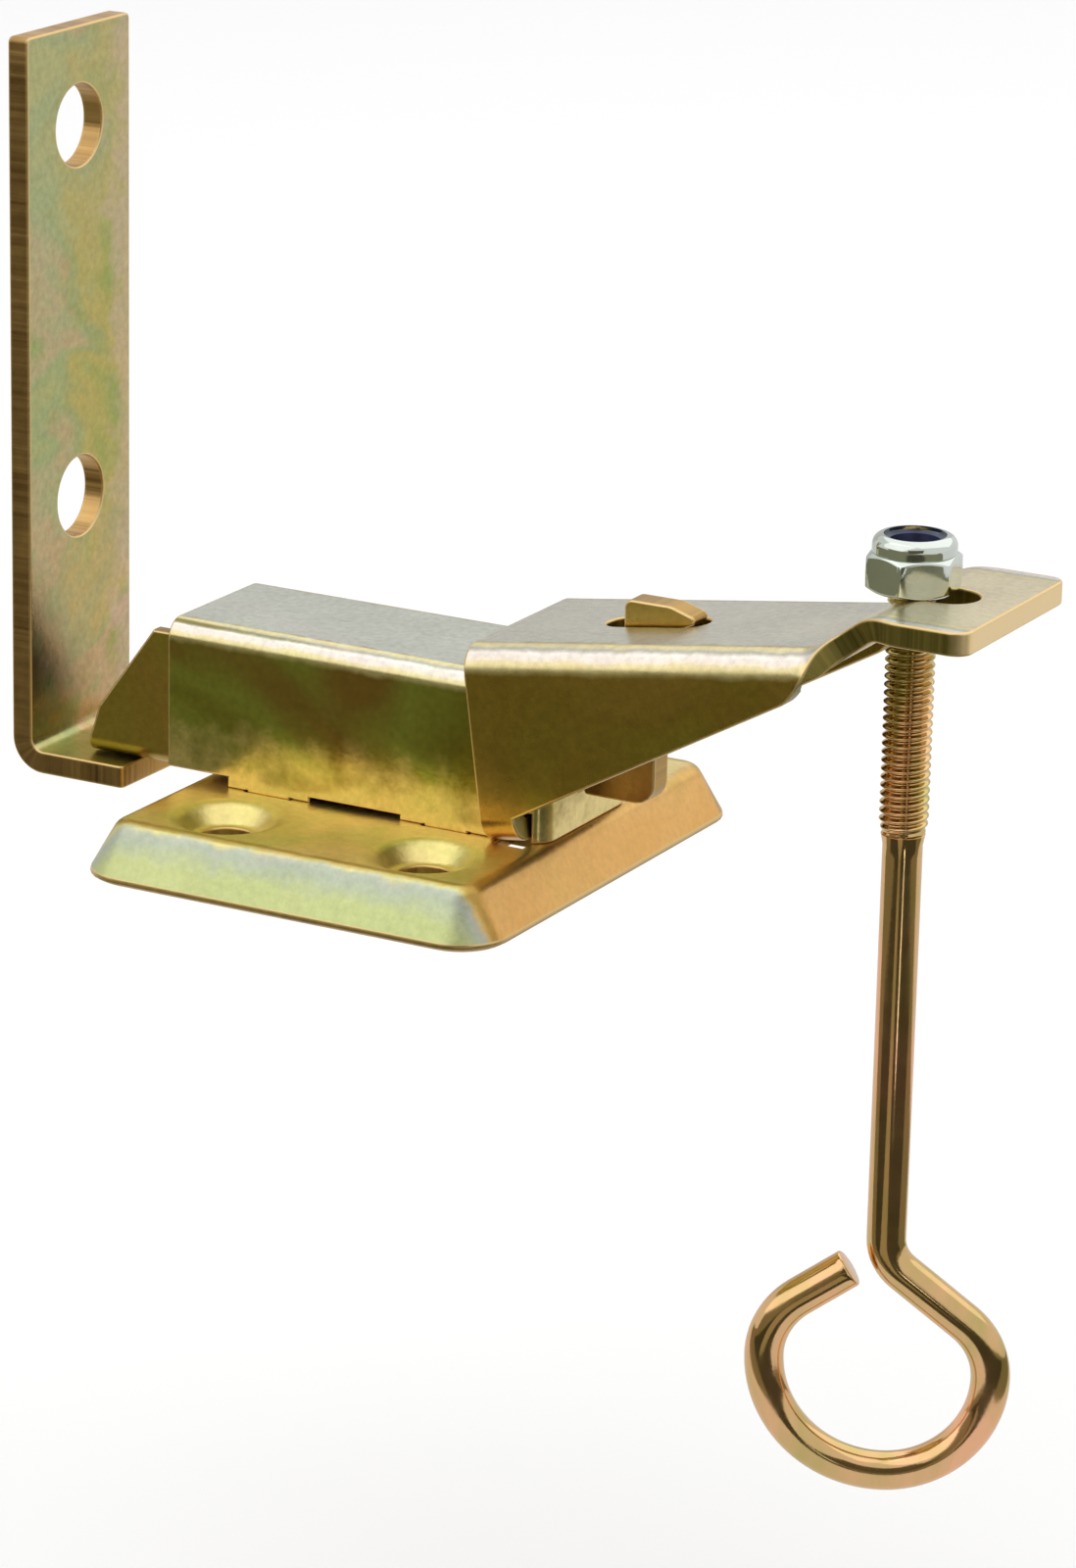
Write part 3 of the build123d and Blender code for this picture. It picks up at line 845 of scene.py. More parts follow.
class Finish(Enum):
    """The finishes of this latch."""

    BASE = YellowZinc("base_zinc", (
        (0.34, (0.84, 0.60, 0.22)), (0.46, (0.95, 0.74, 0.31)), (0.56, (0.80, 0.72, 0.26)), (0.66, (0.95, 0.74, 0.31)),
    ), (
        Wash((0.88, 0.46, 0.13), Field.PLACE, ALONG, (22.5, 24.5, FAR, FAR + 1), 0.8),
        # Painted reflection: a brown line along the crease of the right bevel.
        Wash(BROWN, Field.PLACE, ALONG, (23.2, 23.8, 24.2, 25.2), 0.6, False, 0.6),
        Wash(MINT, Field.PLACE, ACROSS, (28.5, 30.0, FAR, FAR + 1), 0.9, True),
        # Painted reflection: a slate band just below the front and back creases.
        Wash(SLATE, Field.PLACE, ACROSS, (29.0, 29.6, 30.0, 31.6), 0.6, True, 0.8),
        # Painted reflection: a brown line along the front and back creases.
        Wash(BROWN, Field.PLACE, ACROSS, (27.6, 28.2, 28.6, 29.2), 0.7, True, 0.5),
    ), gloss=(0.30, 0.42), peel=0.6, grain=0.76)
    HOUSING = YellowZinc("housing_zinc", (
        (0.36, (0.36, 0.22, 0.05)), (0.46, (0.41, 0.44, 0.08)), (0.55, (0.30, 0.25, 0.035)), (0.65, (0.56, 0.42, 0.10)),
    ), (
        # Painted sheen: the roof is made pale silver where it faces the light.
        Wash(ROOF_SHEEN, Field.BLANK, ACROSS, (-1, 0, 8.2, 9.0), 0.85),
        # Painted reflection: the pan's bright top mirrored low on the walls, full below 5 mm and fading out by 11 mm.
        Wash((0.98, 0.78, 0.32), Field.PLACE, UP, (-20, -19, 5.0, 11.0), 0.92, False, 6.0),
        *bend_film_and_highlight_bands(8.6, 3.6),
    ), drift=32.0, stretch=(0.6, 1.0, 1.0), gloss=(0.16, 0.27))
    TONGUE = YellowZinc("tongue_zinc", ((0.3, OLIVE), (0.5, BROWN), (0.7, MOSS)))
    PLATE = YellowZinc("plate_zinc", ((0.3, BROWN), (0.5, (0.62, 0.44, 0.12)), (0.7, GOLD)), (
        # Painted shade: the plate is darkened below 15 mm, fading out by 21 mm, over its bar and stop block.
        Wash(BLOCK_SHADE, Field.PLACE, UP, (-20, -19, 15.0, 21.0), 0.85),
    ))
    LEVER = YellowZinc("lever_zinc", ((0.3, OLIVE), (0.46, BROWN), (0.58, (0.42, 0.28, 0.05)), (0.72, OLIVE)), (
        # Painted sheen: the lever's top is made pale beige where it faces the light.
        Wash(LEVER_TOP_SHEEN, Field.BLANK, ACROSS, (-1, 0, 10.4, 11.6), 0.85),
        # Painted reflection: the pan mirrored in copper low on the walls, full below 5 mm and fading out by 10 mm.
        Wash(REFLECTED_COPPER, Field.PLACE, UP, (-20, -19, 5.0, 10.0), 0.7, False, 5.0),
        Wash((0.86, 0.72, 0.42), Field.PLACE, ALONG, (56, 66, FAR, FAR + 1), 0.65, False, 5.0),
        *bend_film_and_highlight_bands(11.2, 4.4),
    ))
    STRIKE = YellowZinc("strike_zinc", (
        (0.33, (0.40, 0.46, 0.12)), (0.44, (0.62, 0.51, 0.15)), (0.52, (0.45, 0.48, 0.18)),
        (0.59, (0.70, 0.47, 0.24)), (0.68, (0.40, 0.45, 0.11)),
    ), (
        Wash((0.60, 0.56, 0.34), Field.PLACE, UP, (55, 75, FAR, FAR + 1), 0.3, False, 14.0),
        Wash((0.48, 0.61, 0.34), Field.PLACE, NEAR, (0.0, 6.0, FAR, FAR + 1), 0.3, False, 12.0),
        Wash((0.78, 0.52, 0.27), Field.PLACE, UP, (8, 16, 24, 34), 0.35, False, 16.0),
        Wash(PINK, Field.PLACE, ACROSS, (6.0, 9.5, FAR, FAR + 1), 0.5, False, 6.0),
    ), 44.0)
    EDGE = CutZinc("cut_zinc")
    BAR = CutZinc("bar_zinc", (0.24, 0.13, 0.04), (0.74, 0.47, 0.18), (
        Wash((0.085, 0.042, 0.013), Field.PLACE, NEAR, (10.0, 10.6, FAR, FAR + 1), 0.8, False, 0.6),
    ))
    END = CutZinc("end_zinc", (0.08, 0.07, 0.02), (0.34, 0.27, 0.07), (
        # Painted highlight: the cut edges at the end plate's right end, past 76 mm, are made bright.
        Wash((1.0, 0.76, 0.42), Field.PLACE, ALONG, (75.7, 76.6, FAR, FAR + 1), 0.92, False, 0.6),
    ))
    WIRE = TurnedMetal("wire_zinc", (0.56, 0.46, 0.16), (0.93, 0.51, 0.29), (0.08, 0.17), 90.0)
    SPRING = TurnedMetal("spring_grey", (0.30, 0.30, 0.28), (0.52, 0.51, 0.48), (0.22, 0.36))
    NUT = TurnedMetal("nut_bright", (0.52, 0.57, 0.50), (0.70, 0.75, 0.69), (0.05, 0.12))
    NYLON = Nylon("blue_nylon", (0.012, 0.016, 0.05), (0.03, 0.04, 0.11))

    @property
    def material(self) -> bpy.types.Material:
        """Its material, made the first time."""
        return bpy.data.materials.get(self.value.name) or self.value.make()


# ---------------------------------------------------------------- pieces


def spaced(*knots: tuple[float, int]) -> Array:
    """Places from knot to knot.

    Args:
        knots: each a place and the number of even steps that lead to it.

    Returns:
        The places.
    """
    parts = [np.array([knots[0][0]])]
    for (start, _), (stop, count) in zip(knots, knots[1:]):
        parts.append(np.linspace(start, stop, count + 1)[1:])
    return np.concatenate(parts)


def eased(start: float, stop: float, count: int) -> Array:
    """Places from start to stop that crowd at both ends, by (1 - cos) / 2."""
    return start + (stop - start) * (1 - np.cos(np.linspace(0, np.pi, count + 1))) / 2


def stacked(*edges: tuple[Array, int]) -> Array:
    """Columns between curves.

    Args:
        edges: each a column's places by row and the number of even steps that lead to it.

    Returns:
        The places, rows by columns.
    """
    parts = [edges[0][0][:, None]]
    for (low, _), (high, count) in zip(edges, edges[1:]):
        share = np.linspace(0, 1, count + 1)[1:]
        parts.append(low[:, None] + (high - low)[:, None] * share)
    return np.concatenate(parts, 1)


def parted(places: Array, gap: float) -> Array:
    """Sorted places without those that follow the last one by less than a gap."""
    return places[np.concatenate([[True], np.diff(places) > gap])]


def label(piece: bpy.types.Object, node: str) -> None:
    """Lets a piece stand for its CAD node, and logs it.

    Args:
        piece: the piece.
        node: the CAD node that it replaces.
    """
    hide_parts(node)
    log.info("%s: %d faces for %s", piece.name, len(piece.data.polygons), node)


def dress(piece: bpy.types.Object, body: str, node: str) -> None:
    """Lets a piece ride on its body and stand for its CAD node."""
    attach(piece, body)
    label(piece, node)


@dataclass
class Strike:
    """The angle of flat bar that the tongue latches on."""

    outside: float = -50.3
    bottom: float = 0.45
    height: float = 90.7
    width: float = 22.4
    sheet: float = 2.8
    foot: float = 16.0
    bend: float = 4.3
    hole: float = 5.0
    first: float = 32.6
    spacing: float = 46.0
    corner: float = 0.7
    edge: float = 0.28
    margin: ClassVar[float] = 3.0
    lead: ClassVar[float] = 4.0
    hole_rows: ClassVar[int] = 36

    def build(self) -> None:
        """Folds the blank: s runs from the foot's end up the leg, and q across it."""
        arc = self.bend * QUARTER
        foot, leg = self.foot - self.bend, self.height - self.bend
        spine = Course((self.outside + self.foot, self.bottom), 180, ((foot, 0), (arc, -90), (leg, 0)))
        lift = foot + arc - self.bend
        low, high = lift + self.first, lift + self.first + self.spacing
        r, clear = self.hole, self.hole + self.margin
        end = eased(0, self.corner * 2, 8)[:5]
        s = np.concatenate([
            end, spaced((foot, 0), (foot + arc, 12)),
            spaced((foot + arc + self.lead, 0), (low - clear, 4)), eased(low - r, low + r, self.hole_rows),
            spaced((low + clear, 0), (high - clear, 8)), eased(high - r, high + r, self.hole_rows),
            spine.length - end[::-1],
        ])
        nearest = np.minimum(np.abs(s - low), np.abs(s - high))
        inner = np.sqrt(np.maximum(r**2 - nearest**2, 0))
        tip = np.maximum(self.corner - np.minimum(s, spine.length - s), 0)
        outer = self.width / 2 - self.corner + np.sqrt(self.corner**2 - tip**2)
        blank = Blank.grid(s, stacked((inner, 0), (outer, 6))).mirrored()
        fold = ChannelFold(spine, Course((0, 0), 0, ((self.width, 0),)))
        piece = shell(blank, fold, self.sheet, self.edge).piece("strike_angle", Finish.STRIKE, Finish.BAR)
        dress(piece, "strike", "strike")


@dataclass
class Tongue:
    """The spring-loaded channel whose walls slope back from the nose."""

    rear: float = -2.0
    front: float = -41.2
    bottom: float = 3.45
    top: float = 20.55
    half: float = 8.95
    sheet: float = 2.0
    bend: float = 2.5
    nose_run: float = 2.0
    nose_height: float = 6.3
    ramp_run: float = 7.8
    tab_half: float = 1.85
    tab_length: float = 4.6
    tabs: tuple[float, float] = (-15.25, -6.75)
    edge: float = 0.3

    def build(self) -> None:
        """Folds the blank: s runs from the rear to the nose, and q from the web's middle up a wall."""
        flat, arc = self.half - self.bend, self.bend * QUARTER
        spine = Course((self.rear, self.bottom), 180, ((self.rear - self.front, 0),))
        section = Course((0, 0), 0, ((flat, 0), (arc, -90), (self.top - self.bottom, 0)))
        nose = spine.length - self.nose_run
        ramp = nose - self.ramp_run
        slots = sorted(self.rear - x + side * self.tab_length / 2 for x in self.tabs for side in (-1, 1))
        near, past = 0.5, 0.3
        s = np.concatenate([
            spaced((0, 0), (slots[0], 2), (slots[1], 3), (slots[2], 3), (slots[3], 3), (ramp - near, 6)),
            spaced((ramp, 0), (ramp + near, 2), (nose - near, 8), (nose, 2), (nose + past, 2), (spine.length, 14)),
        ])
        rise = np.interp(s, [ramp, nose, spine.length], [self.top - self.bottom, self.nose_height, 0])
        lift = np.clip(rise, 0, self.bend)
        bent = self.bend * np.arccos(1 - lift / self.bend)
        high = flat + bent + np.maximum(rise - self.bend, 0) + ROW_GAP * (rise < self.bend)
        tab, web, turn, wall = 2, 3, 6, 8
        q = stacked(
            (0 * s, 0), (0 * s + self.tab_half, tab), (0 * s + flat, web), (flat + np.minimum(bent, arc), turn),
            (high, wall),
        )
        middle = (s[1:] + s[:-1]) / 2
        keep = np.ones((len(s) - 1, q.shape[1] - 1), bool)
        for start, stop in (slots[:2], slots[2:]):
            keep[:, :tab] &= ~((middle > start) & (middle < stop))[:, None]
        keep[:, -wall:] &= ((rise[1:] > self.bend) | (rise[:-1] > self.bend))[:, None]
        blank = Blank.grid(s, q, keep).mirrored()
        surface = shell(blank, ChannelFold(spine, section), self.sheet, self.edge)
        dress(surface.piece("tongue_channel", Finish.TONGUE, Finish.EDGE), "bolt", "latch_tongue")


@dataclass(frozen=True)
class CoverFold:
    """The housing: a channel with the roof up to the step, then walls that turn a corner to the end wall.

    Past the step the plan path is walked instead of the spine, and q measures the way down the wall.
    """

    channel: ChannelFold
    step: float
    plan: Course
    wall_start: float
    wall_top: float

    def _plan(self, at: Array) -> tuple[Array, Array, Array, Array]:
        """Where blank places lie in the plan.

        Args:
            at: blank places.

        Returns:
            Plan points, their outward normals, the sign of the side and whether they lie past the step.
        """
        point, head = self.plan.at(np.maximum(at[:, 0] - self.step, 0))
        side = np.where(at[:, 1] < 0, -1, 1)
        return point, np.stack([-np.sin(head), np.cos(head)], -1), side, at[:, :1] > self.step + WELD

    def place(self, at: Array, depth: Array | float) -> Array:
        """Points for blank places at this depth.

        Args:
            at: blank places.
            depth: how far below the outer face, one for all or one each.

        Returns:
            The points.
        """
        point, normal, side, past = self._plan(at)
        inset = point - np.reshape(depth, (-1, 1)) * normal
        z = self.wall_top - (np.abs(at[:, 1]) - self.wall_start)
        turned = np.stack([inset[:, 0], side * inset[:, 1], z], -1)
        return np.where(past, turned, self.channel.place(at, depth))

    def facing(self, at: Array) -> Array:
        """Directions that the outer face points in.

        Args:
            at: blank places.

        Returns:
            Unit vectors.
        """
        _, normal, side, past = self._plan(at)
        turned = np.stack([normal[:, 0], side * normal[:, 1], 0 * side], -1)
        return np.where(past, turned, self.channel.facing(at))


@dataclass
class Housing:
    """The folded cover, with feet, stake tabs, lip notches and an end wall notched for the bar."""

    front: float = -28.0
    rear: float = 24.0
    half: float = 11.0
    foot: float = 3.15
    top: float = 22.85
    sheet: float = 1.8
    bend: float = 2.6
    corner: float = 3.0
    end_height: float = 15.0
    tab_drop: float = 2.3
    front_height: float = 1.3
    recess_height: float = 0.6
    notch_height: float = 3.645
    slit_half: float = 2.1
    slit_bottom: float = 8.85
    breaks: tuple[float, ...] = (-19.5, -16.75, -10.75, -8.0, 4.4, 7.75, 13.75, 17.1)
    notch_rear: float = 22.1
    edge: float = 0.28

    def build(self) -> None:
        """Folds the blank: s runs from the mouth to the end wall's middle, and q from the roof down a wall."""
        flat, arc = self.half - self.bend, self.bend * QUARTER
        step = self.rear - self.corner - self.front
        turn = self.corner * QUARTER
        spine = Course((self.front, self.top), 0, ((step, 0),))
        section = Course((0, 0), 0, ((flat, 0), (arc, -90), (self.top - self.foot, 0)))
        plan = Course((self.rear - self.corner, self.half), 0, ((turn, -90), (self.half - self.corner, 0)))
        wall, wall_top = flat + arc, self.top - self.bend
        fold = CoverFold(ChannelFold(spine, section), step, plan, wall, wall_top)
        notch_end = step + self.corner * math.asin((self.notch_rear - self.rear + self.corner) / self.corner)
        end = step + plan.length
        b = [x - self.front for x in self.breaks]
        near, rim = 0.4, 0.5
        s = spaced(
            (0, 0), (rim, 1), (b[0] - near, 4), (b[0], 1), (b[1], 2), (b[2], 3), (b[3], 2), (b[4], 6), (b[5], 2),
            (b[6], 3), (b[7], 2), (step - near, 3), (step, 1), (notch_end, 3), (step + turn, 8),
            (end - self.slit_half, 4), (end, 3),
        )
        heights = (
            (self.foot + self.end_height, 2), (self.slit_bottom, 5), (self.foot + self.notch_height, 2),
            (self.foot + self.front_height, 2), (self.foot + self.recess_height, 1), (self.foot, 1),
            (self.foot - self.tab_drop, 2),
        )
        q_row = spaced((0, 0), (flat, 5), (wall, 8), *[(wall + wall_top - z, k) for z, k in heights])
        x, z = (s[1:] + s[:-1])[:, None] / 2, wall + wall_top - (q_row[1:] + q_row[:-1])[None] / 2
        stakes = ((x > b[1]) & (x < b[2])) | ((x > b[5]) & (x < b[6]))
        floor = np.where(x < b[0], self.front_height, 0.0)
        floor = np.where((x > b[3]) & (x < b[4]), self.recess_height, floor)
        floor = np.where((x > b[7]) & (x < notch_end), self.notch_height, floor)
        keep = z > self.foot + floor - stakes * self.tab_drop
        keep &= (x < step) | (z < self.foot + self.end_height)
        keep &= (x < end - self.slit_half) | (z < self.slit_bottom)
        blank = Blank.grid(s, np.broadcast_to(q_row, (len(s), len(q_row))), keep).mirrored().closed(end)
        piece = shell(blank, fold, self.sheet, self.edge).piece("housing_cover", Finish.HOUSING, Finish.EDGE)
        dress(piece, "frame", "housing")


@dataclass(frozen=True)
class LeverFold(ChannelFold):
    """The lever: a channel up to its neck, whose bend then dies out along the spine.

    Past the flat by t the section turns through t k, with k fading from 1 / bend to 0, so that its
    breadth is t sinc(t k) and its drop t (t k / 2) sinc^2(t k / 2).
    """

    flat: float
    bend: float
    fade: tuple[float, float]

    def across(self, at: Array) -> tuple[Array, Array]:
        """Section points and their outward normals, for blank places.

        Args:
            at: blank places.

        Returns:
            The channel's own before the bend starts to die out, and the fading bend's past it.
        """
        share = np.clip((at[:, 0] - self.fade[0]) / (self.fade[1] - self.fade[0]), 0, 1)
        k = (1 - share * share * (3 - 2 * share)) / self.bend
        t = np.maximum(np.abs(at[:, 1]) - self.flat, 0)
        turn = t * k
        breadth = np.minimum(np.abs(at[:, 1]), self.flat) + t * np.sinc(turn / np.pi)
        drop = -t * turn / 2 * np.sinc(turn / FULL_TURN) ** 2
        point, normal = super().across(at)
        past = at[:, :1] > self.fade[0]
        faded = np.stack([np.sin(turn), np.cos(turn)], -1)
        return np.where(past, np.stack([breadth, drop], -1), point), np.where(past, faded, normal)


@dataclass
class Lever:
    """The folded lever: lips that it rocks on, sloping walls, hook slot, neck, joggle and slotted end plate."""

    pivot: tuple[float, float] = (18.6, 4.65)
    tilt: float = 8.0
    top: float = 22.4864
    half: float = 14.15
    sheet: float = 2.8
    bend: float = 3.4
    lip_round: float = 1.4
    lip_length: float = 3.2
    lip_inside: float = 8.9
    wall_foot: float = 1.9
    wall_slope: float = 21.5
    wall_corner: float = 39.6
    wall_length: float = 41.8
    hook_slot: tuple[float, float] = (10.7625, 23.9362)
    hook_slot_half: float = 2.6
    lead: float = 1.6
    run: float = 7.0
    rise: float = 5.2
    fold: float = 7.0
    plate: float = 12.6
    corner: float = 2.2
    neck: float = 11.4
    neck_x: float = 61.36
    flare_x: float = 69.86
    bolt_slot: tuple[float, float] = (58.898, 73.098)
    bolt_slot_half: float = 3.3
    fade_lead: float = 0.6
    edge: float = 0.3
    slit: ClassVar[float] = 0.05
    samples: ClassVar[int] = 2000
    rim_gap: ClassVar[float] = 0.5
    lip_gap: ClassVar[float] = 0.4
    must_gap: ClassVar[float] = 0.22
    fill_gap: ClassVar[float] = 0.2

    def spine(self) -> Course:
        """The top's middle line.

        Returns:
            Its course from the lip end over the joggle to the end plate's end.
        """
        t, ramp = math.radians(self.tilt), math.degrees(math.atan2(self.rise, self.run))
        start = (
            self.pivot[0] - self.lip_round * math.cos(t) - self.top * math.sin(t),
            self.pivot[1] - self.lip_round * math.sin(t) + self.top * math.cos(t),
        )
        up = ramp - self.tilt
        first, second = (self.fold * math.tan(math.radians(turn / 2)) for turn in (up, ramp))
        return Course(start, self.tilt, (
            (self.lip_round + self.wall_length + self.lead - first, 0),
            (self.fold * math.radians(up), up),
            (math.hypot(self.run, self.rise) - first - second, 0),
            (self.fold * math.radians(ramp), -ramp),
            (self.plate - second, 0),
        ))

    def build(self) -> None:
        """Folds the blank: s runs from the lip end to the plate's end, and q from the middle down a wall."""
        spine = self.spine()
        flat, arc = self.half - self.bend, self.bend * QUARTER
        drop = self.top - self.bend - (self.bend - self.lip_round)
        lip = flat - self.lip_inside
        section = Course((0, 0), 0, ((flat, 0), (arc, -90), (drop, 0), (arc, -90), (lip, 0)))
        lip_end = self.lip_round + self.lip_length
        corner = self.lip_round + self.wall_corner
        trace = np.linspace(0, spine.length, self.samples)
        trace_x = spine.at(trace)[0][:, 0]
        neck, flare = np.interp((self.neck_x, self.flare_x), trace_x, trace)
        hook = tuple(self.lip_round + u for u in self.hook_slot)
        s = self._rows(spine, lip_end, corner, neck, hook, lambda x: np.interp(x, trace_x, trace))

        slope = math.tan(math.radians(self.wall_slope))
        foot = flat + arc + self.top - self.bend - self.wall_foot
        straight = foot - np.maximum(s - lip_end, 0) * slope
        waist = self._eased(s, corner, neck, foot - (corner - lip_end) * slope, self.neck, -slope)
        outer = np.where(s < corner, straight, waist)
        outer = np.where(s > neck, self._eased(s, neck, flare, self.neck, self.half, 0.0), outer)
        tip = np.maximum(self.corner - (spine.length - s), 0)
        outer = outer - self.corner + np.sqrt(np.maximum(self.corner**2 - tip**2, 0))
        x = spine.at(s)[0][:, 0]
        inner = np.maximum(
            self._slot(s, *hook, self.hook_slot_half), self._slot(x, *self.bolt_slot, self.bolt_slot_half)
        )
        inner[inner < self.slit] = 0
        top_share, bend_share, lip_steps = 0.6, 0.75, 8
        q = stacked(
            (inner, 0), (np.minimum(flat, top_share * outer), 6), (np.minimum(flat + arc, bend_share * outer), 8),
            (outer, 8), (outer + np.where(s < lip_end + WELD, section.length - foot, 1.0), lip_steps),
        )
        keep = np.ones((len(s) - 1, q.shape[1] - 1), bool)
        keep[:, -lip_steps:] = (s[1:] < lip_end + WELD)[:, None]
        fade = (self.lip_round + self.wall_length - self.fade_lead, neck)
        fold = LeverFold(spine, section, flat, self.bend, fade)
        surface = shell(Blank.grid(s, q, keep).mirrored(), fold, self.sheet, self.edge)
        dress(surface.piece("lever_channel", Finish.LEVER, Finish.END), "lever", "lever")

    def _rows(
        self, spine: Course, lip_end: float, corner: float, neck: float, hook: tuple[float, float],
        along: Callable[[Array], Array],
    ) -> Array:
        """Rows of the blank: those that a shape needs, and others between them.

        Args:
            spine: the top's middle line.
            lip_end: where the lips end.
            corner: where the walls start to draw in.
            neck: the narrowest place.
            hook: the hook slot's ends.
            along: gives the place on the spine at an x.

        Returns:
            Sorted places along the spine.
        """
        quarter = 1 - np.cos(np.linspace(0, QUARTER, 11))
        left, right = self.bolt_slot
        bolt_ends = along(np.concatenate([
            left + self.bolt_slot_half * quarter, right - self.bolt_slot_half * quarter
        ]))
        folds = np.cumsum([run for run, _ in spine.moves])
        must = np.concatenate([
            [0.0, self.rim_gap, lip_end, lip_end + self.lip_gap, corner, neck],
            hook[0] + self.hook_slot_half * quarter, hook[1] - self.hook_slot_half * quarter, bolt_ends,
            spine.length - self.corner * (1 - np.sin(np.linspace(0, QUARTER, 8))),
        ])
        spans = ((0, corner, 24), (corner, neck, 26), (folds[0], folds[3], 26), (folds[3], spine.length, 10))
        fill = np.concatenate([np.linspace(*span) for span in spans])
        fill = np.unique(fill[np.abs(fill[:, None] - must).min(1) > self.must_gap])
        return parted(np.sort(np.concatenate([must, parted(fill, self.fill_gap)])), ROW_GAP)

    @staticmethod
    def _eased(s: Array, start: float, stop: float, low: float, high: float, slope: float) -> Array:
        """A cubic from low to high that leaves at this slope and arrives level."""
        t, width = np.clip((s - start) / (stop - start), 0, 1), stop - start
        return low * (1 + 2 * t) * (1 - t) ** 2 + slope * width * t * (1 - t) ** 2 + high * t * t * (3 - 2 * t)

    @staticmethod
    def _slot(s: Array, left: float, right: float, half: float) -> Array:
        """Half width at s of a slot with round ends."""
        past = np.maximum(np.maximum(left + half - s, s - right + half), 0)
        return np.sqrt(np.maximum(half**2 - past**2, 0))


@dataclass(frozen=True)
class FlatFold:
    """A flat plate that stands in the XZ plane, its outer face towards -Y."""

    half: float

    def place(self, at: Array, depth: Array | float) -> Array:
        """Points for blank places at this depth."""
        return np.stack([at[:, 0], np.broadcast_to(depth, len(at)) - self.half, at[:, 1]], -1)

    def facing(self, at: Array) -> Array:
        """Directions that the outer face points in."""
        return np.tile([0.0, -1.0, 0.0], (len(at), 1))


def rounded(corners: Array, radii: Array, steps: int = 4) -> Array:
    """A closed outline with its corners rounded.

    At each corner the two tangent points lie r / tan(a / 2) away for the angle a between the sides,
    and the arc turns from one to the other about the centre on the angle's middle line.

    Args:
        corners: corner points in order.
        radii: radius at each corner.
        steps: steps of each arc.

    Returns:
        The outline's points in order.
    """
    back, ahead = unit(np.roll(corners, 1, 0) - corners), unit(np.roll(corners, -1, 0) - corners)
    half = np.arccos(np.clip(np.sum(back * ahead, 1), -1, 1)) / 2
    centre = corners + unit(back + ahead) * (radii / np.sin(half))[:, None]
    reach = (radii / np.tan(half))[:, None]
    first, last = corners + back * reach - centre, corners + ahead * reach - centre
    turn = (np.pi - 2 * half)[:, None, None]
    share = np.linspace(0, 1, steps + 1)[None, :, None]
    arc = (np.sin((1 - share) * turn) * first[:, None] + np.sin(share * turn) * last[:, None]) / np.sin(turn)
    return (centre[:, None] + arc).reshape(-1, 2)


@dataclass
class PullPlate:
    """The thick blanked plate: anchor in the tongue, bar through the spring, stop block and hook."""

    thickness: float = 3.6
    edge: float = 0.25
    outline: tuple[tuple[float, float, float], ...] = (
        (-20, 5.45, 0.5), (-17.5, 5.45, 0.3), (-17.5, 3.45, 0.5), (-13, 3.45, 0.5), (-13, 5.45, 0.3), (-9, 5.45, 0.3),
        (-9, 3.45, 0.5), (-4.5, 3.45, 0.5), (-4.5, 5.45, 0.3), (-2, 5.45, 0.5), (-2, 9.15, 0.6), (24.2, 9.15, 0.6),
        (24.2, 7.25, 0.5), (33.5, 7.25, 2.4), (33.5, 14.65, 0.8), (36.5, 18.65, 0.8), (36.5, 29.4, 0.6),
        (38.5, 30.3, 0.5), (37.9, 31.0, 0.6), (35.0, 31.92, 3.2), (29, 31.92, 0.9), (29, 16.65, 0.5),
        (24.2, 16.65, 0.5), (24.2, 14.15, 0.6), (-2, 14.15, 0.6), (-2, 16.65, 0.5), (-20, 16.65, 0.5),
    )

    def build(self) -> None:
        """A flat shell with one face on each side."""
        corners = np.array(self.outline)
        at = rounded(corners[:, :2], corners[:, 2])
        blank = Blank(at, [np.arange(len(at))[None]])
        surface = shell(blank, FlatFold(self.thickness / 2), self.thickness, self.edge)
        dress(surface.piece("pull_hook", Finish.PLATE, Finish.EDGE), "bolt", "pull_plate")


@dataclass
class Spring:
    """The return spring round the pull plate's bar."""

    radius: float = 3.981
    wire: float = 1.2
    turns: int = 9
    start: float = -1.35
    closed_pitch: float = 1.75
    open_pitch: float = 2.771
    middle: float = 11.65
    rows_per_turn: int = 40
    columns: int = 14

    def build(self) -> None:
        """A tube on a helix about X: Y is radius sin(2 pi t), Z is radius cos(2 pi t), and X advances by the pitch.

        In the latch its left end goes with the tongue and its right end stays at the housing, so that it is pressed
        together; here it is built in place and rides on no body.
        """
        t = np.linspace(0, self.turns, self.turns * self.rows_per_turn + 1)
        closed = np.minimum(t, 1) + np.maximum(0, t - self.turns + 1)
        x = self.start + closed * self.closed_pitch + (t - closed) * self.open_pitch
        out = np.stack([0 * t, np.sin(FULL_TURN * t), np.cos(FULL_TURN * t)], -1)
        middle = np.stack([x, 0 * t, 0 * t + self.middle], -1) + self.radius * out
        side = unit(np.cross(out, np.gradient(middle, axis=0)))
        surface = tube(middle, out, side, np.full((len(t), self.columns), self.wire / 2))
        piece = surface.piece("spring_wire", Finish.SPRING)
        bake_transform(piece)
        label(piece, "return_spring")


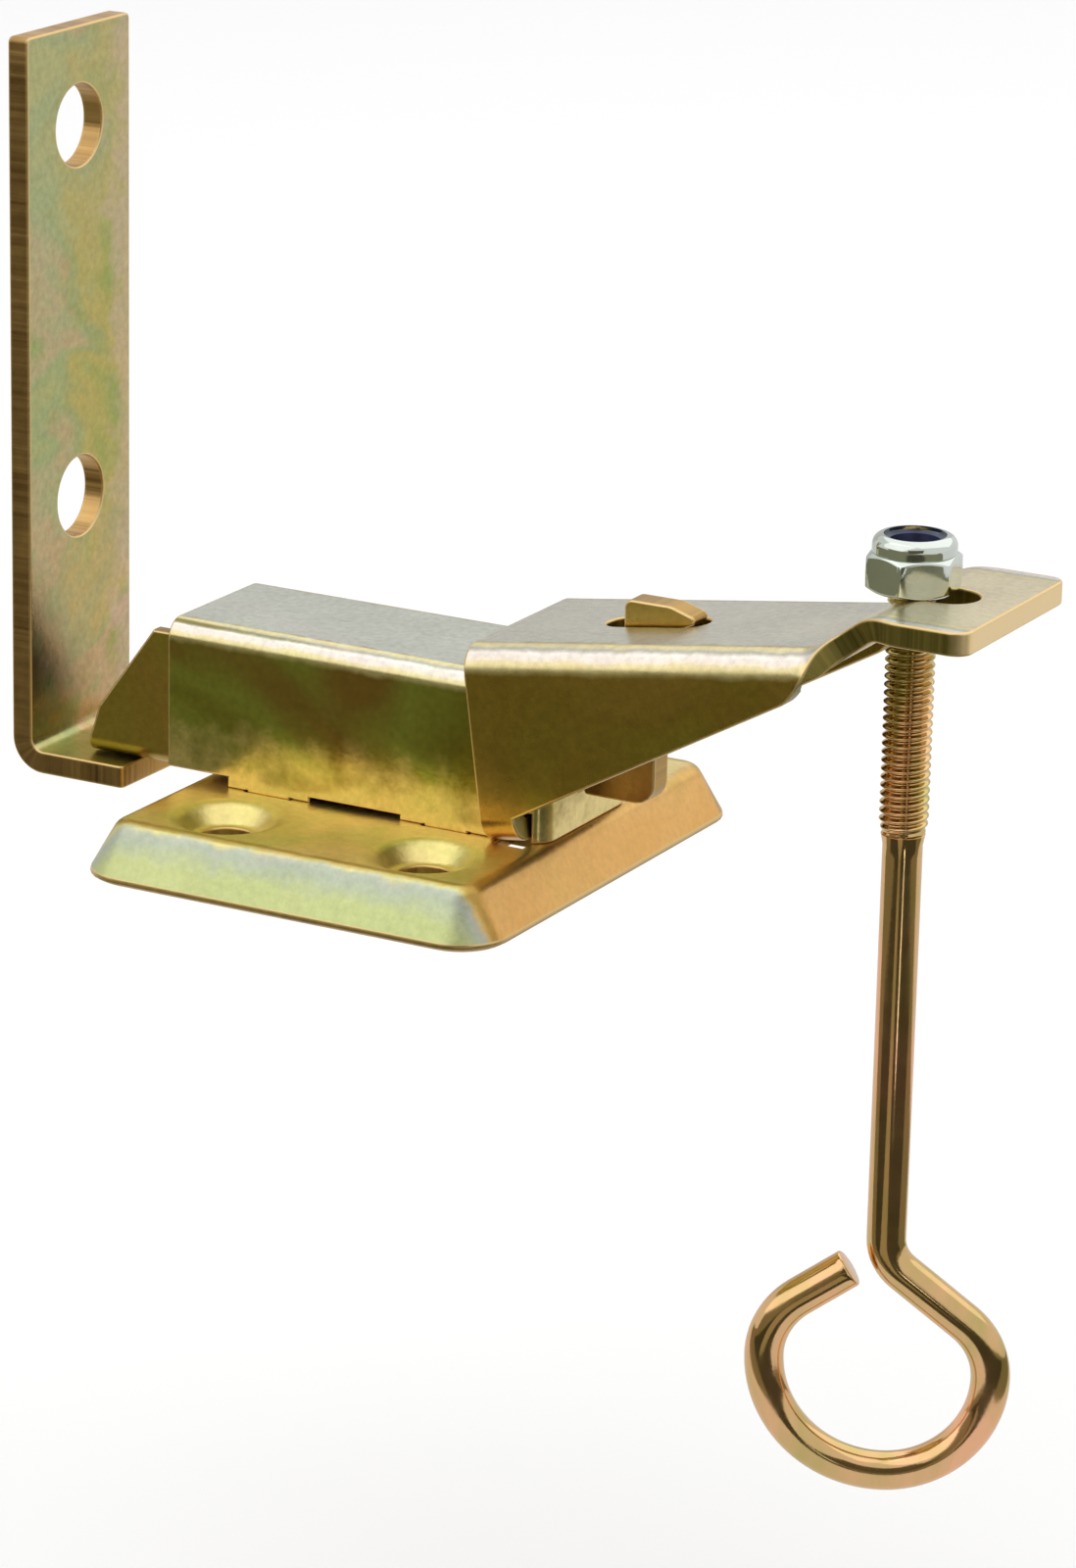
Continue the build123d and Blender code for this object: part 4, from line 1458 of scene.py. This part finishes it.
@dataclass
class RingBolt:
    """The threaded rod that is bent to an open ring."""

    axis: float = 64.998
    top: float = 42.858
    thread_length: float = 33.8
    thread_radius: float = 2.9
    thread_depth: float = 0.52
    pitch: float = 1.0
    shank_radius: float = 2.35
    lead_corner: float = -43.642
    lead_angle: float = 51.0
    lead_radius: float = 5.5
    lead_length: float = 12.4
    shoulder: float = 9.0
    right: float = 12.4
    left: float = 14.5
    brow: float = 9.0
    brow_angle: float = 56.0
    tail: float = 7.0
    ring_turn: float = 26.0
    chamfer: float = 0.3
    run_out: float = 1.6
    run_out_level: float = 0.25
    shoulder_rise: float = 0.25
    shoulder_run: float = 0.7
    columns: int = 48
    rows_per_pitch: int = 22
    shank_rows: int = 39
    ring_rows: int = 129
    end_rows: int = 5

    def build(self) -> None:
        """A tube on a plane path; the thread's radius is a cosine wave of s / pitch + angle / 2 pi."""
        cut = self.lead_radius * math.tan(math.radians(self.lead_angle / 2))
        arc = math.radians(1)
        course = Course((0, self.top), -90, (
            (self.top - self.lead_corner - cut, 0),
            (self.lead_radius * self.lead_angle * arc, self.lead_angle),
            (self.lead_length - cut, 0),
            (self.shoulder * self.lead_angle * arc, -self.lead_angle),
            (self.right * 90 * arc, -90),
            (self.left * 90 * arc, -90),
            (self.brow * self.brow_angle * arc, -self.brow_angle),
            (self.tail, 0),
        ))
        bent, last = course.moves[0][0], course.length - self.chamfer
        threaded = round(self.thread_length * self.rows_per_pitch / self.pitch)
        s = np.concatenate([
            spaced((0, 0), (self.thread_length, threaded), (bent, self.shank_rows), (last, self.ring_rows)),
            course.length - self.chamfer * (1 - np.sin(np.linspace(0, QUARTER, self.end_rows)))[1:],
        ])
        plane, head = course.at(s)
        turn = math.radians(self.ring_turn)
        level = np.array([math.cos(turn), math.sin(turn), 0.0])
        middle = np.array([self.axis, 0, 0]) + plane[:, :1] * level + plane[:, 1:] * [0, 0, 1]
        out = -np.sin(head)[:, None] * level + np.cos(head)[:, None] * [0, 0, 1]
        side = np.tile([-math.sin(turn), math.cos(turn), 0.0], (len(s), 1))
        surface = tube(middle, out, side, self._radius(s, course.length))
        dress(surface.piece("ring_rod", Finish.WIRE), "ring_bolt", "eye_bolt")

    def _radius(self, s: Array, length: float) -> Array:
        """Radius of the rod: thread, run-out, shank and rounded end.

        Args:
            s: lengths along the rod.
            length: the rod's whole length.

        Returns:
            Radii, rows by angles.
        """
        angle = np.linspace(0, 1, self.columns, endpoint=False)
        wave = (1 - np.cos(FULL_TURN * (s[:, None] / self.pitch + angle[None]))) / 2
        fade = np.clip((self.thread_length - s) / self.run_out, 0, 1)[:, None]
        core = self.thread_radius - self.thread_depth
        thread = core + self.thread_depth * (wave * fade + self.run_out_level * (1 - fade))
        thread = np.minimum(thread, (core - self.chamfer + s)[:, None])
        swell = np.clip(1 - (s - self.thread_length) / self.shoulder_run, 0, 1) ** 2
        shank = self.shank_radius + self.shoulder_rise * swell
        rod = np.where(s[:, None] < self.thread_length, thread, shank[:, None])
        end = np.clip((s - (length - self.chamfer)) / self.chamfer, 0, 1)
        return rod - (self.chamfer * (1 - np.sqrt(1 - end**2)))[:, None]


@dataclass
class LockNut:
    """The hexagon nut with its crimped collar, and the nylon ring inside it."""

    axis: float = 64.998
    bottom: float = 38.208
    flats: float = 10.0
    turn: float = 39.0
    hex_height: float = 4.4
    chamfer: float = 0.5
    height: float = 6.5
    collar: float = 4.9
    collar_round: float = 1.2
    mouth: float = 3.6
    bore: float = 2.95
    recess: float = 3.95
    insert_outer: float = 3.9
    insert_inner: float = 2.85
    insert_height: float = 1.3
    lip: float = 0.5
    columns: int = 180
    ring_columns: int = 64
    crisp: float = 46.0
    round_below: float = 4.2
    ease: ClassVar[float] = 0.12
    crease: ClassVar[float] = 0.02
    collar_gap: ClassVar[float] = 0.2
    face_inset: ClassVar[float] = 0.4
    round_rows: ClassVar[int] = 9

    def build(self) -> None:
        """Dresses the nut and its ring."""
        dress(self._nut().piece("nut_body", Finish.NUT), "nut", "lock_nut")
        dress(self._ring().piece("nut_ring", Finish.NYLON), "nut", "nut_insert")

    def _nut(self) -> Surface:
        """A lathe grid: each row's radius is the soft least of its circle and the hexagon at that angle.

        Returns:
            The nut's surface.
        """
        b, h = self.bottom, self.hex_height
        corner = self.flats / math.sqrt(3)
        low = corner - self.chamfer * math.sqrt(3)
        slope = np.linspace(0, 1, self.round_rows)
        arc = np.linspace(0, QUARTER, self.round_rows)
        top, ease = b + self.height, self.ease
        seat = top - self.lip
        floor = seat - self.insert_height
        z = np.concatenate([
            [b, b], b + self.chamfer * slope, [b + h / 2], b + h - self.chamfer * (1 - slope),
            [b + h + self.crease, b + h + ease, top - self.collar_round - self.collar_gap],
            top - self.collar_round * (1 - np.sin(arc)),
            [top, seat, seat, floor, floor],
        ])
        far = 3 * corner
        r = np.concatenate([
            [self.bore, low - self.face_inset], low + (corner - low) * slope, [far], corner - (corner - low) * slope,
            [self.collar - ease, self.collar, self.collar], self.collar - self.collar_round * (1 - np.cos(arc)),
            [self.mouth, self.mouth, self.recess, self.recess, self.bore],
        ])
        angle = np.linspace(0, FULL_TURN, self.columns, endpoint=False)
        faces = np.radians(self.turn + 30 + 60 * np.arange(6))
        reach = np.maximum(np.cos(angle[:, None] - faces), 0) / (self.flats / 2)
        radius = (np.sum(reach**self.crisp, 1)[None] + r[:, None] ** -self.crisp) ** (-1 / self.crisp)
        return self._lathe(z, np.where(r[:, None] < self.round_below, r[:, None], radius))

    def _ring(self) -> Surface:
        """A lathe grid of a ring with a rounded upper face.

        Returns:
            The ring's surface.
        """
        top = self.bottom + self.height - self.lip
        low = top - self.insert_height
        inner, outer = self.insert_inner, self.insert_outer
        profile = np.array([
            (low, inner), (low, outer), (top - 0.3, outer), (top - 0.05, outer - 0.1), (top, outer - 0.3),
            (top, inner + 0.5), (top - 0.2, inner + 0.1), (low + 0.3, inner),
        ])
        return self._lathe(profile[:, 0], np.repeat(profile[:, 1:], self.ring_columns, 1))

    def _lathe(self, z: Array, radius: Array) -> Surface:
        """Rows of a closed profile turned round the bolt's axis.

        Args:
            z: height of each row.
            radius: radii, rows by angles.

        Returns:
            The surface.
        """
        angle = np.linspace(0, FULL_TURN, radius.shape[1], endpoint=False)
        height = np.repeat(z[:, None], len(angle), 1)
        rows = np.stack([self.axis + radius * np.cos(angle), radius * np.sin(angle), height], -1)
        quads = lathe_grid(len(z) + 1, len(angle)) % (len(z) * len(angle))
        return Surface(rows.reshape(-1, 3), [quads])


@dataclass(frozen=True)
class PanFold:
    """The base plate's relief over its plan.

    The height is that of the bevel's profile outside the flat and of the dimple's near a screw. Both
    profiles are courses of arcs and straight slopes, read by the distance outside the rounded
    rectangle of the flat or from the nearest screw.
    """

    flat: tuple[float, float]
    corner: float
    bevel: Course
    screws: tuple[float, float]
    dimple: Course
    top: float

    def _relief(self, at: Array) -> tuple[Array, Array]:
        """Height and slope over the plan.

        Args:
            at: plan places.

        Returns:
            Heights against the top, and upward normals.
        """
        side = np.where(at < 0, -1, 1)
        past = np.abs(at) - (np.array(self.flat) - self.corner)
        both = (past > 0).all(1)
        out = np.where(both[:, None], np.maximum(past, 0), np.where(past == past.max(1, keepdims=True), 1.0, 0.0))
        off = np.where(both, np.linalg.norm(np.maximum(past, 0), axis=1), past.max(1)) - self.corner
        near = at - side * np.array(self.screws)
        fall, tip = self._read(self.bevel, np.maximum(off, 0))
        sink, lean = self._read(self.dimple, self.dimple.start[0] - np.linalg.norm(near, axis=1))
        beyond = off > 0
        slope = np.where(beyond, tip, lean)
        way = np.where(beyond[:, None], unit(out) * side, -unit(near))
        return np.where(beyond, fall, sink), np.concatenate([-np.sin(slope)[:, None] * way, np.cos(slope)[:, None]], 1)

    @staticmethod
    def _read(course: Course, run: Array, samples: int = 400) -> tuple[Array, Array]:
        """Height and heading of a profile.

        Args:
            course: the profile.
            run: level distances from its start.
            samples: how many places along it are worked out.

        Returns:
            Heights, and headings measured against the way outwards or inwards.
        """
        s = np.linspace(0, course.length, samples)
        point, head = course.at(s)
        level = np.abs(point[:, 0] - course.start[0])
        head = np.where(np.cos(head) < 0, np.pi - head, head)
        head = (head + np.pi) % FULL_TURN - np.pi
        run = np.maximum(run, 0)
        return np.interp(run, level, point[:, 1]), np.interp(run, level, head)

    def place(self, at: Array, depth: Array | float) -> Array:
        """Points for plan places at this depth."""
        height, normal = self._relief(at)
        return np.concatenate([at, (self.top + height)[:, None]], 1) - np.reshape(depth, (-1, 1)) * normal

    def facing(self, at: Array) -> Array:
        """Directions that the outer face points in."""
        return self._relief(at)[1]


@dataclass
class BasePlate:
    """The pressed pan with four screw dimples, stake slots and wells under the lever's lips."""

    half: tuple[float, float] = (28.0, 33.0)
    rise: float = 6.35
    top: float = 3.15
    sheet: float = 1.5
    corner: float = 6.4
    bevel_run: float = 3.6
    crease: float = 1.9
    screws: tuple[float, float] = (13.5, 20.8)
    hole: float = 3.25
    dimple: float = 7.35
    dimple_depth: float = 2.4
    dimple_slope: float = 47.0
    rim_round: float = 2.6
    floor_round: float = 0.8
    floor_run: float = 4.0
    stakes: tuple[tuple[float, float], ...] = ((-16.9, -10.6), (7.6, 13.9))
    stake_wall: tuple[float, float] = (9.05, 11.15)
    well: tuple[float, float] = (18.2, 21.9)
    well_wall: tuple[float, float] = (8.3, 12.5)
    edge: float = 0.3
    margin: ClassVar[float] = 0.05
    rim_gap: ClassVar[float] = 0.5
    knot_gap: ClassVar[float] = 0.3
    hole_gaps: ClassVar[tuple[float, float]] = (0.9, 0.45)
    block_knots: ClassVar[int] = 13
    middle_knots: ClassVar[int] = 5
    dimple_rows: ClassVar[int] = 16
    crease_rows: ClassVar[int] = 9
    slope_rows: ClassVar[int] = 6

    def build(self) -> None:
        """Joins the flat's cells, its corners, the dimples' rings and the bevel's rows into one blank."""
        slope = math.degrees(math.atan2(self.rise, self.bevel_run))
        lean = math.radians(slope)
        fall = (self.rise - self.crease * (1 - math.cos(lean))) / math.sin(lean)
        bevel = Course((0, 0), 0, ((self.crease * lean, -slope), (fall, 0)))
        inset = bevel.at(np.array([bevel.length]))[0][0, 0]
        flat = (self.half[0] - inset, self.half[1] - inset)
        corner = self.corner - inset
        fold = PanFold(flat, corner, bevel, self.screws, self._dimple(), self.top)
        x, y = self._knots(flat[0], corner, 0), self._knots(flat[1], corner, 1)
        blank = Blank.joined(
            self._flat(x, y, flat, corner), *self._dimples(x, y, flat), self._bevel(x, y, flat, corner, bevel, inset)
        )
        piece = shell(blank, fold, self.sheet, self.edge).piece("base_pan", Finish.BASE, Finish.EDGE)
        dress(piece, "frame", "base_plate")

    def _dimple(self) -> Course:
        """Radial profile of a dimple: an arc at its rim, a slope, an arc at its floor and the floor.

        Returns:
            Its course from the rim to past the screw hole.
        """
        lean = math.radians(self.dimple_slope)
        slide = (self.dimple_depth - (self.rim_round + self.floor_round) * (1 - math.cos(lean))) / math.sin(lean)
        return Course((self.dimple, 0), 180, (
            (self.rim_round * lean, self.dimple_slope), (slide, 0), (self.floor_round * lean, -self.dimple_slope),
            (self.floor_run, 0),
        ))

    def _block(self, flat: float, axis: int) -> tuple[float, float]:
        """Span of the block of cells that a dimple takes up.

        Args:
            flat: half length of the flat along the axis.
            axis: 0 for X, 1 for Y.

        Returns:
            The span's ends; the outer one is the flat's own where it comes near.
        """
        far = self.screws[axis] + self.dimple + self.margin
        return self.screws[axis] - self.dimple - self.margin, flat if far > flat - self.rim_gap else far

    def _knots(self, flat: float, corner: float, axis: int) -> Array:
        """Grid places along one axis: the dimples' blocks, slots and wells, and the corners.

        Args:
            flat: half length of the flat along the axis.
            corner: radius of the flat's corners.
            axis: 0 for X, 1 for Y.

        Returns:
            Sorted places.
        """
        low, high = self._block(flat, axis)
        block = np.linspace(low, high, self.block_knots)
        extra = [*sum(self.stakes, ()), *self.well] if axis == 0 else [*self.stake_wall, *self.well_wall]
        extra = np.array([*extra, *([] if axis == 0 else [-v for v in extra])])
        must = np.concatenate([extra, [-flat, -flat + corner, flat - corner, flat]])
        fill = np.concatenate([block, -block, np.linspace(-low, low, self.middle_knots)])
        ends = (np.abs(np.abs(fill) - low) < WELD) | (np.abs(np.abs(fill) - high) < WELD)
        fill = fill[ends | (np.abs(fill[:, None] - must).min(1) > self.knot_gap)]
        return parted(np.sort(np.concatenate([must, fill])), ROW_GAP)

    def _flat(self, x: Array, y: Array, flat: tuple[float, float], corner: float) -> Blank:
        """Cells of the flat between slots, wells, dimple blocks and corners, and the corners' fans.

        Args:
            x: knots along X.
            y: knots along Y.
            flat: half lengths of the flat.
            corner: radius of its corners.

        Returns:
            The blank.
        """
        mx, my = (x[1:] + x[:-1])[:, None] / 2, np.abs(y[1:] + y[:-1])[None] / 2

        def within(v: Array, span: tuple[float, float]) -> Array:
            """Where a value lies in a span."""
            return (v > span[0]) & (v < span[1])

        keep = ~(within(np.abs(mx), self._block(flat[0], 0)) & within(my, self._block(flat[1], 1)))
        keep &= ~(within(mx, self.well) & within(my, self.well_wall))
        for stake in self.stakes:
            keep &= ~(within(mx, stake) & within(my, self.stake_wall))
        keep &= ~((np.abs(mx) > flat[0] - corner) & (my > flat[1] - corner))
        cells = Blank.grid(x, np.broadcast_to(y, (len(x), len(y))), keep)
        signs = ((-1, -1), (-1, 1), (1, -1), (1, 1))
        return Blank.joined(cells, *(self._corner(sx * x, sy * y, flat, corner, sx, sy) for sx, sy in signs))

    @staticmethod
    def _corner(x: Array, y: Array, flat: tuple[float, float], corner: float, sx: int, sy: int) -> Blank:
        """Triangles of one rounded corner, fanned from the middle of its arc.

        Args:
            x: knots along X, turned to the corner's side.
            y: knots along Y, turned to the corner's side.
            flat: half lengths of the flat.
            corner: radius of the corner.
            sx: side of the corner along X.
            sy: side of the corner along Y.

        Returns:
            The blank, whose straight sides have the knots of the cells beside it.
        """
        heart = np.array([flat[0] - corner, flat[1] - corner])
        arc = np.linspace(0, QUARTER, CORNER_STEPS + 1)
        bow = heart + corner * np.stack([np.cos(arc), np.sin(arc)], -1)
        beside, over = np.sort(x[x > heart[0] + WELD]), np.sort(y[y > heart[1] + WELD])[::-1]
        half = CORNER_STEPS // 2
        ring = np.concatenate([
            bow[half:-1], np.stack([0 * over + heart[0], over], -1), [heart],
            np.stack([beside, 0 * beside + heart[1]], -1), bow[1:half],
        ])
        count = np.arange(1, len(ring) - 1)
        wedge = np.stack([0 * count, count, count + 1], -1)
        return Blank(ring * [sx, sy], [wedge if sx * sy > 0 else wedge[:, ::-1]])

    def _dimples(self, x: Array, y: Array, flat: tuple[float, float]) -> list[Blank]:
        """Rings from each block's border to its screw hole.

        Args:
            x: knots along X.
            y: knots along Y.
            flat: half lengths of the flat.

        Returns:
            A blank for each dimple.
        """
        (x0, x1), (y0, y1) = self._block(flat[0], 0), self._block(flat[1], 1)
        outer, inner = (self.hole + gap for gap in self.hole_gaps)
        radii = np.concatenate([np.linspace(self.dimple, outer, self.dimple_rows), [inner, self.hole]])
        rings = []
        for sx, sy in ((-1, -1), (1, -1), (1, 1), (-1, 1)):
            across = x[(sx * x > x0 - WELD) & (sx * x < x1 + WELD)]
            along = y[(sy * y > y0 - WELD) & (sy * y < y1 + WELD)]
            border = np.concatenate([
                np.stack([across[:-1], 0 * across[:-1] + along[0]], -1),
                np.stack([0 * along[:-1] + across[-1], along[:-1]], -1),
                np.stack([across[:0:-1], 0 * across[1:] + along[-1]], -1),
                np.stack([0 * along[1:] + across[0], along[:0:-1]], -1),
            ])
            centre = np.array([sx * self.screws[0], sy * self.screws[1]])
            rows = np.concatenate([border[None], centre + radii[:, None, None] * unit(border - centre)[None]])
            rings.append(Blank(rows.reshape(-1, 2), [lathe_grid(len(rows), len(border))]))
        return rings

    def _bevel(
        self, x: Array, y: Array, flat: tuple[float, float], corner: float, bevel: Course, inset: float
    ) -> Blank:
        """Rows that follow the flat's outline outwards: each of its places moves along its own way out.

        Args:
            x: knots along X.
            y: knots along Y.
            flat: half lengths of the flat.
            corner: radius of its corners.
            bevel: profile of the bevel.
            inset: level width of the bevel.

        Returns:
            The blank.
        """
        ax, ay = flat[0] - corner, flat[1] - corner
        across, along = x[np.abs(x) < ax + WELD], y[np.abs(y) < ay + WELD]
        arc = np.linspace(0, QUARTER, CORNER_STEPS + 1)[1:-1]
        bow = np.stack([np.cos(arc), np.sin(arc)], -1)
        level, upright = np.stack([across, 0 * across], -1), np.stack([0 * along, along], -1)
        sides = (
            (upright + [ax, 0], [1, 0]), ([ax, ay], bow),
            (level[::-1] + [0, ay], [0, 1]), ([-ax, ay], bow[::-1] * [-1, 1]),
            (upright[::-1] - [ax, 0], [-1, 0]), ([-ax, -ay], -bow),
            (level - [0, ay], [0, -1]), ([ax, -ay], bow[::-1] * [1, -1]),
        )
        heart, way = (np.concatenate(part) for part in zip(*(np.broadcast_arrays(*side) for side in sides)))
        turned = bevel.at(np.linspace(0, bevel.moves[0][0], self.crease_rows))[0][:, 0]
        off = np.concatenate([turned, np.linspace(turned[-1], inset, self.slope_rows)[1:]])
        rows = heart[None] + way[None] * (corner + off)[:, None, None]
        return Blank(rows.reshape(-1, 2), [lathe_grid(len(rows), len(heart))[:, ::-1]])


# ---------------------------------------------------------------- studio


@dataclass(frozen=True)
class Card:
    """A plain card that only reflections see; it faces up unless it is aimed at a place."""

    name: str
    centre: tuple[float, float, float]
    size: tuple[float, float]
    shade: float
    tint: Colour = WHITE
    turn: float = 0.0
    aim: tuple[float, float, float] | None = None

    def build(self) -> None:
        """A flat card turned to its aim, and then in its own plane."""
        card = flat_sheet(self.name, self.size[0] / 2, self.size[1] / 2)
        card.location = self.centre
        way = Vector(self.aim) - Vector(self.centre) if self.aim else Vector((0, 0, 1))
        facing = way.to_track_quat("Z", "Y").to_matrix()
        card.rotation_euler = (facing @ Matrix.Rotation(math.radians(self.turn), 3, "Z")).to_euler()
        material = bpy.data.materials.new(self.name)
        material.use_nodes = True
        tree = material.node_tree
        tree.nodes.clear()
        glow = tree.nodes.new("ShaderNodeEmission")
        glow.inputs["Color"].default_value = (*self.tint, 1)
        glow.inputs["Strength"].default_value = self.shade
        tree.links.new(glow.outputs[0], tree.nodes.new("ShaderNodeOutputMaterial").inputs[0])
        card.data.materials.append(material)
        for ray in ("camera", "diffuse", "transmission", "shadow", "volume_scatter"):
            setattr(card, f"visible_{ray}", False)
        card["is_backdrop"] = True


@dataclass(frozen=True)
class Lamp:
    """A square soft lamp that points at the origin."""

    name: str
    place: tuple[float, float, float]
    size: float
    watts: float

    def build(self) -> None:
        """Sets the lamp up."""
        data = bpy.data.lights.new(self.name, "AREA")
        data.size, data.energy = self.size, self.watts
        lamp = bpy.data.objects.new(self.name, data)
        bpy.context.scene.collection.objects.link(lamp)
        lamp.location = self.place
        lamp.rotation_euler = (-Vector(self.place)).to_track_quat("-Z", "Y").to_euler()


def flat_sheet(name: str, half_x: float, half_y: float, z: float = 0.0) -> bpy.types.Object:
    """A level rectangle about the Z axis.

    Args:
        name: name of the object.
        half_x: half its length along X.
        half_y: half its length along Y.
        z: its height.

    Returns:
        The object, in the scene.
    """
    mesh = bpy.data.meshes.new(name)
    corners = [(sx * half_x, sy * half_y, z) for sx, sy in ((-1, -1), (1, -1), (1, 1), (-1, 1))]
    mesh.from_pydata(corners, [], [(0, 1, 2, 3)])
    made = bpy.data.objects.new(name, mesh)
    bpy.context.scene.collection.objects.link(made)
    return made


ROOM: Colour = (1.0, 0.97, 0.62)


@dataclass
class Studio:
    """Pale floor, soft light and the camera at the photograph's angle."""

    camera_place: tuple[float, float, float] = (0.32889, -0.57747, 0.21377)
    azimuth: float = 28.366
    elevation: float = 17.5
    roll: float = 1.222
    focal_px: float = 5900.0
    floor_half: float = 4.0
    floor_drop: float = 0.03
    floor_tone: float = 0.94
    floor_rough: float = 0.9
    surround: float = 0.8
    clip: tuple[float, float] = (0.01, 50.0)
    image: ClassVar[tuple[int, int]] = (1098, 1600)
    sensor: ClassVar[float] = 36.0
    lamps: ClassVar[tuple[Lamp, ...]] = (
        Lamp("key", (-0.5, -0.7, 0.9), 1.6, 4.0),
        Lamp("top", (0.1, 0.5, 1.1), 2.2, 7.0),
    )
    cards: ClassVar[tuple[Card, ...]] = (
        Card("floor_sheen", (0, 0, -0.07355), (6, 6), 0.75),
        Card("front_flag", (-0.55, -0.93, -0.0734), (2.7, 1.8), 0.22, ROOM),
        Card("right_flag", (0.65, 0.045, -0.0734), (1.1, 0.15), 0.22, ROOM),
        Card("front_board", (-0.2, -1.7, 0.1), (3.4, 0.8), 0.22, ROOM, aim=(0, 0, 0.1)),
        Card("back_flag", (-0.75, 1.0, 0.22), (1.3, 0.7), 0.62, aim=(0, 0, 0.02)),
        Card("ring_flag", (0.236, -0.317, -0.0733), (0.36, 0.66), 0.06, ROOM, 28.4),
        Card("ring_strip", (0.192, -0.161, -0.0732), (0.012, 0.11), 2.4, turn=38.4),
        Card("ring_glow", (0.093, -0.153, -0.0731), (0.05, 0.21), 0.34, ROOM, 10.4),
        Card("camera_flag", (0.791, -1.342, 0.451), (1.2, 0.9), 0.10, ROOM, aim=(0.065, 0, -0.03)),
    )

    def build(self) -> None:
        """Sets out floor, world, lamps, cards and camera."""
        bpy.context.scene.view_settings.view_transform = "Standard"
        self._floor()
        self._world()
        for thing in (*self.lamps, *self.cards):
            thing.build()
        self._camera()

    def _floor(self) -> None:
        """A pale plane that the ring clears at full pull."""
        floor = flat_sheet("floor", self.floor_half, self.floor_half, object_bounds()[0].z - self.floor_drop)
        n = Nodes("floor_paint")
        n.shader.inputs["Base Color"].default_value = (*(self.floor_tone,) * 3, 1)
        n.shader.inputs["Roughness"].default_value = self.floor_rough
        n.shader.inputs["Specular IOR Level"].default_value = 0.0
        floor.data.materials.append(n.material)
        floor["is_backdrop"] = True

    def _world(self) -> None:
        """An even pale surround."""
        world = bpy.data.worlds.new("surround")
        bpy.context.scene.world = world
        world.use_nodes = True
        back = world.node_tree.nodes["Background"]
        back.inputs["Color"].default_value = (*WHITE, 1)
        back.inputs["Strength"].default_value = self.surround

    def _camera(self) -> None:
        """A camera by azimuth, elevation and roll; the sensor's width covers the image's long side."""
        data = bpy.data.cameras.new("camera")
        data.sensor_width = self.sensor
        data.lens = self.focal_px * self.sensor / max(self.image)
        camera = bpy.data.objects.new("camera", data)
        bpy.context.scene.collection.objects.link(camera)
        a, e = math.radians(self.azimuth), math.radians(self.elevation)
        back = Vector((math.sin(a) * math.cos(e), -math.cos(a) * math.cos(e), math.sin(e)))
        camera.rotation_mode = "QUATERNION"
        turn = back.to_track_quat("Z", "Y").to_matrix() @ Matrix.Rotation(math.radians(self.roll), 3, "Z")
        camera.rotation_quaternion = turn.to_quaternion()
        camera.location = self.camera_place
        data.clip_start, data.clip_end = self.clip
        bpy.context.scene.camera = camera


def main() -> None:
    """Builds the pieces and the studio in order."""
    logging.basicConfig(level=logging.INFO, format="%(name)s: %(message)s")
    for assembly in (BasePlate(), Housing(), Tongue(), PullPlate(), Spring(), Lever(), LockNut(), RingBolt(), Strike()):
        assembly.build()
    Studio().build()


if __name__ == "__main__":
    main()
